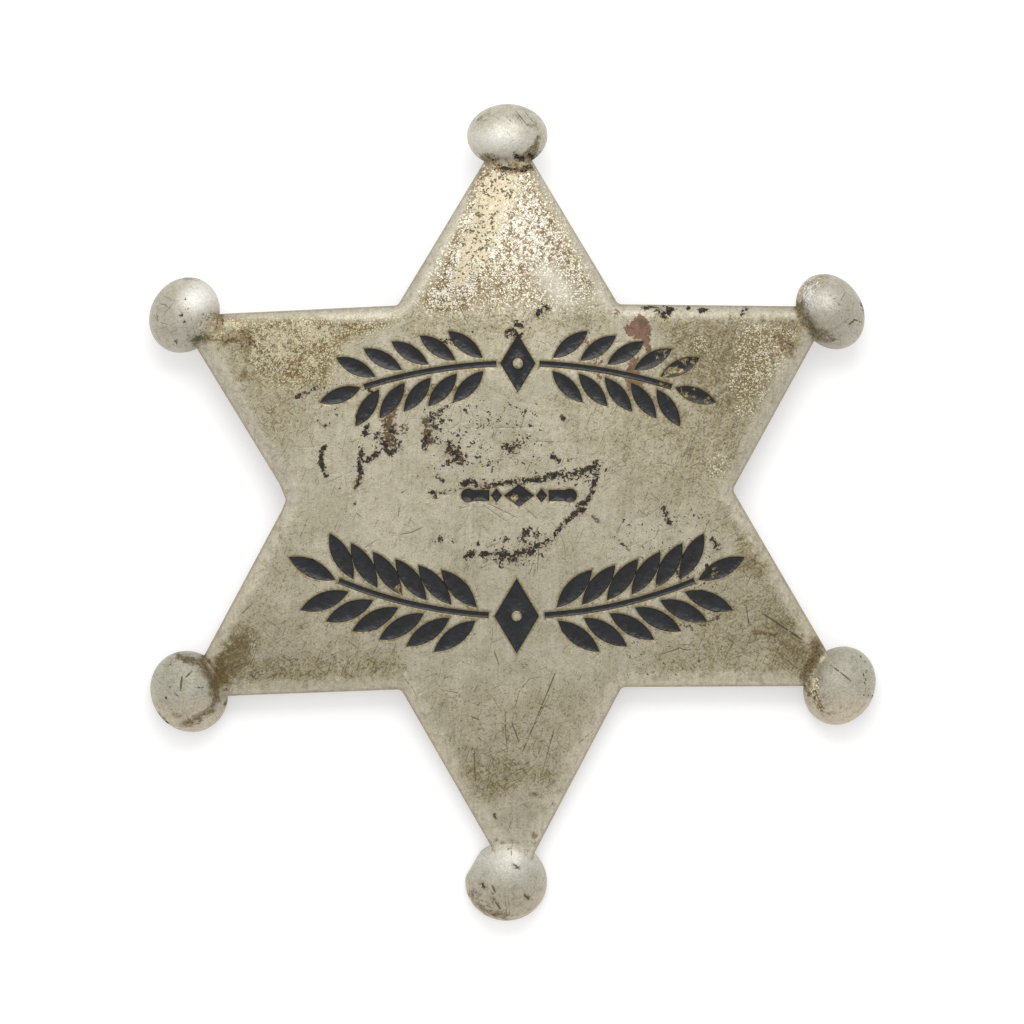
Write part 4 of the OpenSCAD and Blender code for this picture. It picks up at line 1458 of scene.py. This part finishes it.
ENAMEL_TOP = DEPTH - ENAMEL_LOW
ENAMEL_FLOOR = DEPTH - RECESS
ENAMEL_HOLLOW = 0.12
LEAF_CUTS = (22, 9)
STEM_CUTS = (60, 5)
RING_POINTS = 64
LOZENGE_ROWS = 6
DIVIDER_ROWS = 4
STEM_HOLLOW = 0.6
RIPPLE_SCALE = 1.1
MERGE_WITHIN = 0.001


def lozenge_ring_mesh(spray):
    """The enamel round the bead of a spray's lozenge, not yet laid down"""
    half = [h - ENAMEL_GAP * math.hypot(*spray["lozenge"]) / o
            for h, o in zip(spray["lozenge"], spray["lozenge"][::-1])]
    ways = round_ways(RING_POINTS)
    outer = ways / (np.abs(ways) @ (1 / np.array(half)))[:, None] + spray["middle"]
    inner = ways * (BEAD_R + ENAMEL_GAP) + spray["middle"]
    return filled_ring(outer, inner, LOZENGE_ROWS, ENAMEL_FLOOR, ENAMEL_TOP, ENAMEL_HOLLOW)


SPRAY_SIZES = ("Middle X", "Middle Y", "Radius", "First pair", "Pitch", "Pairs", "Leaf length", "Leaf width",
               "Leaf lean", "Leaf clearance", "Stem width", "Gap", "Floor", "Top", "Hollow", "Ripple")


def spray_tree():
    """Node tree that lays leaves in pairs and a stem on each side of what it is given, along an arc"""
    tree = bpy.data.node_groups.new("leaf_spray", "GeometryNodeTree")
    recipe = Recipe(tree)
    tree.interface.new_socket(name="Geometry", in_out="INPUT", socket_type="NodeSocketGeometry")
    for name in SPRAY_SIZES:
        tree.interface.new_socket(name=name, in_out="INPUT", socket_type="NodeSocketFloat")
    tree.interface.new_socket(name="Enamel", in_out="INPUT", socket_type="NodeSocketMaterial")
    tree.interface.new_socket(name="Geometry", in_out="OUTPUT", socket_type="NodeSocketGeometry")
    given = recipe.add("NodeGroupInput")
    size = {name: given.other(name) for name in SPRAY_SIZES}
    radius, gap, length, width = size["Radius"], size["Gap"], size["Leaf length"], size["Leaf width"]
    stem_start = size["First pair"] - size["Pitch"] / 2
    stem_end = size["First pair"] + (size["Pairs"] - 0.5) * size["Pitch"]

    def on_arc(s, off):
        """Both coordinates of a place along the arc"""
        turn = s / radius
        across = size["Middle X"] + (radius + off) * recipe.sum("SINE", turn)
        return across, size["Middle Y"] + (radius + off) * recipe.sum("COSINE", turn) - radius

    def block(cuts):
        """A block cut into many faces, and its own coordinates, each from -1 to 1"""
        mesh = recipe.add("GeometryNodeMeshCube", None,
                          {"Size": (2, 2, 2), "Vertices X": cuts[0], "Vertices Y": cuts[1], "Vertices Z": 2})
        return mesh, *recipe.parted(recipe.add("GeometryNodeInputPosition"))

    def moved(mesh, x, y, z):
        place = recipe.joined(x, y, z)
        return recipe.add("GeometryNodeSetPosition", None, {"Geometry": mesh, "Position": place})

    def marked(mesh, value):
        """Keeps how far across the enamel each corner is"""
        return recipe.add("GeometryNodeStoreNamedAttribute", {"data_type": "FLOAT", "domain": "POINT"},
                          {"Geometry": mesh, "Name": "across", "Value": value})

    def level(y, z, share):
        """Height of a corner: the floor, or the top with its hollow"""
        top = size["Top"] - size["Hollow"] * (1 - y * y) * share
        return size["Floor"] + (top - size["Floor"]) * (z * 0.5 + 0.5)

    # One leaf, between two discs
    bow = (length * length + width * width) / (width * 4)
    off = bow - width / 2
    bow = bow - gap
    mesh, x, y, z = block(LEAF_CUTS)
    leaf_x = recipe.sum("SQRT", bow * bow - off * off) * recipe.sum("SINE", x * (math.pi / 2))
    half = recipe.sum("SQRT", bow * bow - leaf_x * leaf_x) - off
    leaf = moved(marked(mesh, recipe.sum("ABSOLUTE", y)), leaf_x, y * half, level(y, z, half / (width / 2)))
    leaf = recipe.add("GeometryNodeMergeByDistance", None, {"Geometry": leaf, "Distance": MERGE_WITHIN})

    # Its places: four to each pair, and one past the end of each stem
    index = recipe.add("GeometryNodeInputIndex")
    side = recipe.sum("MODULO", index, 2.0) * 2 - 1
    pair = recipe.sum("FLOOR", index / 4)
    above = recipe.sum("MODULO", recipe.sum("FLOOR", index / 2), 2.0) * 2 - 1
    paired = recipe.sum("LESS_THAN", pair, size["Pairs"] - 0.5)
    end_s = stem_end + size["Leaf clearance"] + length / 2
    s = side * (end_s + (size["First pair"] + pair * size["Pitch"] - end_s) * paired)
    out = side * length / 2 * recipe.sum("COSINE", size["Leaf lean"]) * paired
    up = size["Stem width"] / 2 + size["Leaf clearance"] + length / 2 * recipe.sum("SINE", size["Leaf lean"])
    up = up * above * paired
    turn = 0 - s / radius
    arc_x, arc_y = on_arc(s, 0.0)
    cosine, sine = recipe.sum("COSINE", turn), recipe.sum("SINE", turn)
    place = recipe.joined(arc_x + out * cosine - up * sine, arc_y + out * sine + up * cosine)
    points = recipe.add("GeometryNodePoints", None, {"Count": size["Pairs"] * 4 + 2, "Position": place})
    lean = recipe.joined(z=turn + side * above * size["Leaf lean"] * paired)
    leaves = recipe.add("GeometryNodeInstanceOnPoints", None,
                        {"Points": points, "Instance": leaf, "Rotation": lean})

    # The stems
    shapes = recipe.add("GeometryNodeJoinGeometry")
    join = shapes.socket.node
    tree.links.new(leaves.socket, join.inputs[0])
    tree.links.new(given.socket, join.inputs[0])
    for way in (-1, 1):
        mesh, x, y, z = block(STEM_CUTS)
        middle, reach = (stem_start + stem_end) / 2, (stem_end - stem_start) / 2 - gap
        stem_x, stem_y = on_arc(middle * way + reach * x, y * (size["Stem width"] / 2 - gap))
        stem = moved(marked(mesh, recipe.sum("ABSOLUTE", y)), stem_x, stem_y, level(y, z, STEM_HOLLOW))
        tree.links.new(stem.socket, join.inputs[0])

    # A ripple in the tops, from the hand that laid the enamel
    solid = recipe.add("GeometryNodeRealizeInstances", None, {"Geometry": shapes})
    place = recipe.add("GeometryNodeInputPosition")
    z = recipe.parted(place)[2]
    rough = recipe.noise(place, RIPPLE_SCALE, 2, 0.5)
    lift = (rough - 0.5) * size["Ripple"] * recipe.step(z, ENAMEL_FLOOR, ENAMEL_TOP)
    shift = recipe.joined(z=lift)
    solid = recipe.add("GeometryNodeSetPosition", None, {"Geometry": solid, "Offset": shift})
    enamel = given.other("Enamel")
    solid = recipe.add("GeometryNodeSetMaterial", None, {"Geometry": solid, "Material": enamel})
    recipe.add("NodeGroupOutput", None, {"Geometry": solid})
    return tree


ENAMEL_RIPPLE = 0.06


def spray_mesh(name, spray, tree, material):
    """A spray's enamel, made by the node tree round its lozenge"""
    corners, faces, across = lozenge_ring_mesh(spray)
    lozenge = bpy.data.meshes.new(name)
    lozenge.from_pydata(corners.tolist(), [], faces)
    lozenge.attributes.new("across", "FLOAT", "POINT").data.foreach_set("value", across.astype(np.float32))
    maker = bpy.data.objects.new(name + "_maker", lozenge)
    bpy.context.scene.collection.objects.link(maker)
    modifier = maker.modifiers.new("spray", "NODES")
    modifier.node_group = tree
    sizes = (*spray["middle"], spray["radius"], spray["first"], spray["pitch"], spray["pairs"],
             *spray["leaf"], LEAF_LEAN, LEAF_CLEAR, STEM_W, ENAMEL_GAP,
             ENAMEL_FLOOR, ENAMEL_TOP, ENAMEL_HOLLOW, ENAMEL_RIPPLE)
    identifiers = {item.name: item.identifier for item in tree.interface.items_tree if item.in_out == "INPUT"}
    for size_name, value in zip(SPRAY_SIZES, sizes):
        modifier[identifiers[size_name]] = float(value)
    modifier[identifiers["Enamel"]] = material
    seen = maker.evaluated_get(bpy.context.evaluated_depsgraph_get())
    mesh = bpy.data.meshes.new_from_object(seen)
    bpy.data.objects.remove(maker)
    mesh.transform(REST)
    return mesh


def divider_mesh(name):
    """The enamel of the divider between the sprays"""
    corners, faces, across = np.zeros((0, 3)), [], np.zeros(0)
    for mark in divider_marks():
        loop = mark_loops(mark, -ENAMEL_GAP)[0]
        body = filled_shape(loop, DIVIDER_ROWS, ENAMEL_FLOOR, ENAMEL_TOP, ENAMEL_HOLLOW)
        faces += [[len(corners) + i for i in face] for face in body[1]]
        corners = np.vstack([corners, body[0]])
        across = np.append(across, body[2])
    return mesh_of(name, corners, faces, {"across": across})


# Floor, camera and light
FLOOR_HALF = 1.5


def pale_floor():
    corners = [(x * FLOOR_HALF, y * FLOOR_HALF, 0) for x, y in ((-1, -1), (1, -1), (1, 1), (-1, 1))]
    mesh = bpy.data.meshes.new("floor")
    mesh.from_pydata(corners, [], [(0, 1, 2, 3)])
    floor = bpy.data.objects.new("floor", mesh)
    bpy.context.scene.collection.objects.link(floor)
    material, recipe = new_material("pale_floor")
    bsdf = recipe.add("ShaderNodeBsdfPrincipled", None, {
        "Base Color": (0.75, 0.75, 0.75, 1), "Roughness": 0.9, "Specular IOR Level": 0.1,
        "Emission Color": (1, 1, 1, 1), "Emission Strength": 0.35})
    recipe.add("ShaderNodeOutputMaterial", None, {"Surface": bsdf})
    mesh.materials.append(material)


def aimed(thing, place, target):
    thing.location = place
    thing.rotation_euler = (Vector(target) - Vector(place)).to_track_quat("-Z", "Y").to_euler()
    bpy.context.scene.collection.objects.link(thing)
    return thing


LENS = 200.0
SENSOR = 36.0
FRAME_PIXELS = 1024
CAMERA_CLIP = (0.01, 10)


def photo_camera():
    """A camera square to the badge's face, far enough off that the photograph's frame is filled"""
    data = bpy.data.cameras.new("camera")
    data.lens = LENS
    data.sensor_width = SENSOR
    data.clip_start, data.clip_end = CAMERA_CLIP
    away = LENS / SENSOR * FRAME_PIXELS * PHOTO_PIXEL
    target, place = (REST @ Vector((0, 0, DEPTH - EDGE_R + z)) for z in (0, away))
    bpy.context.scene.camera = aimed(bpy.data.objects.new("camera", data), place, target)


SOFTBOX_AT = (0, 0.085, 0.125)
SOFTBOX_AIM = (0, 0.01, 0)
SOFTBOX_SIZE = (0.12, 0.07)
SOFTBOX_WATTS = 0.10
ROOM_GLOW = 0.82


def studio():
    """Soft light from all round, with a near softbox above the head of the badge"""
    world = bpy.data.worlds.new("studio")
    world.use_nodes = True
    recipe = Recipe(world.node_tree)
    glow = recipe.add("ShaderNodeBackground", None, {"Color": (1, 1, 1, 1), "Strength": ROOM_GLOW})
    recipe.add("ShaderNodeOutputWorld", None, {"Surface": glow})
    bpy.context.scene.world = world
    data = bpy.data.lights.new("head_softbox", "AREA")
    data.shape = "RECTANGLE"
    data.size, data.size_y = SOFTBOX_SIZE
    data.energy = SOFTBOX_WATTS
    aimed(bpy.data.objects.new("head_softbox", data), SOFTBOX_AT, SOFTBOX_AIM).visible_camera = False
    bpy.context.scene.view_settings.view_transform = "Standard"


# The badge and its stage
pale_floor()
photo_camera()
studio()
enamel = black_enamel()
finish_piece("star_plate_metal", star_mesh(), "star_plate", worn_metal())
tree = spray_tree()
for name, spray, node in (("upper_leaf_enamel", UPPER_SPRAY, "upper_spray_enamel"),
                          ("lower_leaf_enamel", LOWER_SPRAY, "lower_spray_enamel")):
    finish_piece(name, spray_mesh(name, spray, tree, enamel), node, enamel)
finish_piece("divider_enamel", divider_mesh("divider_enamel"), "centre_enamel", enamel)
pin = frame["nodes"]["brooch_pin"]
pin.data.materials.clear()
pin.data.materials.append(dull_metal())
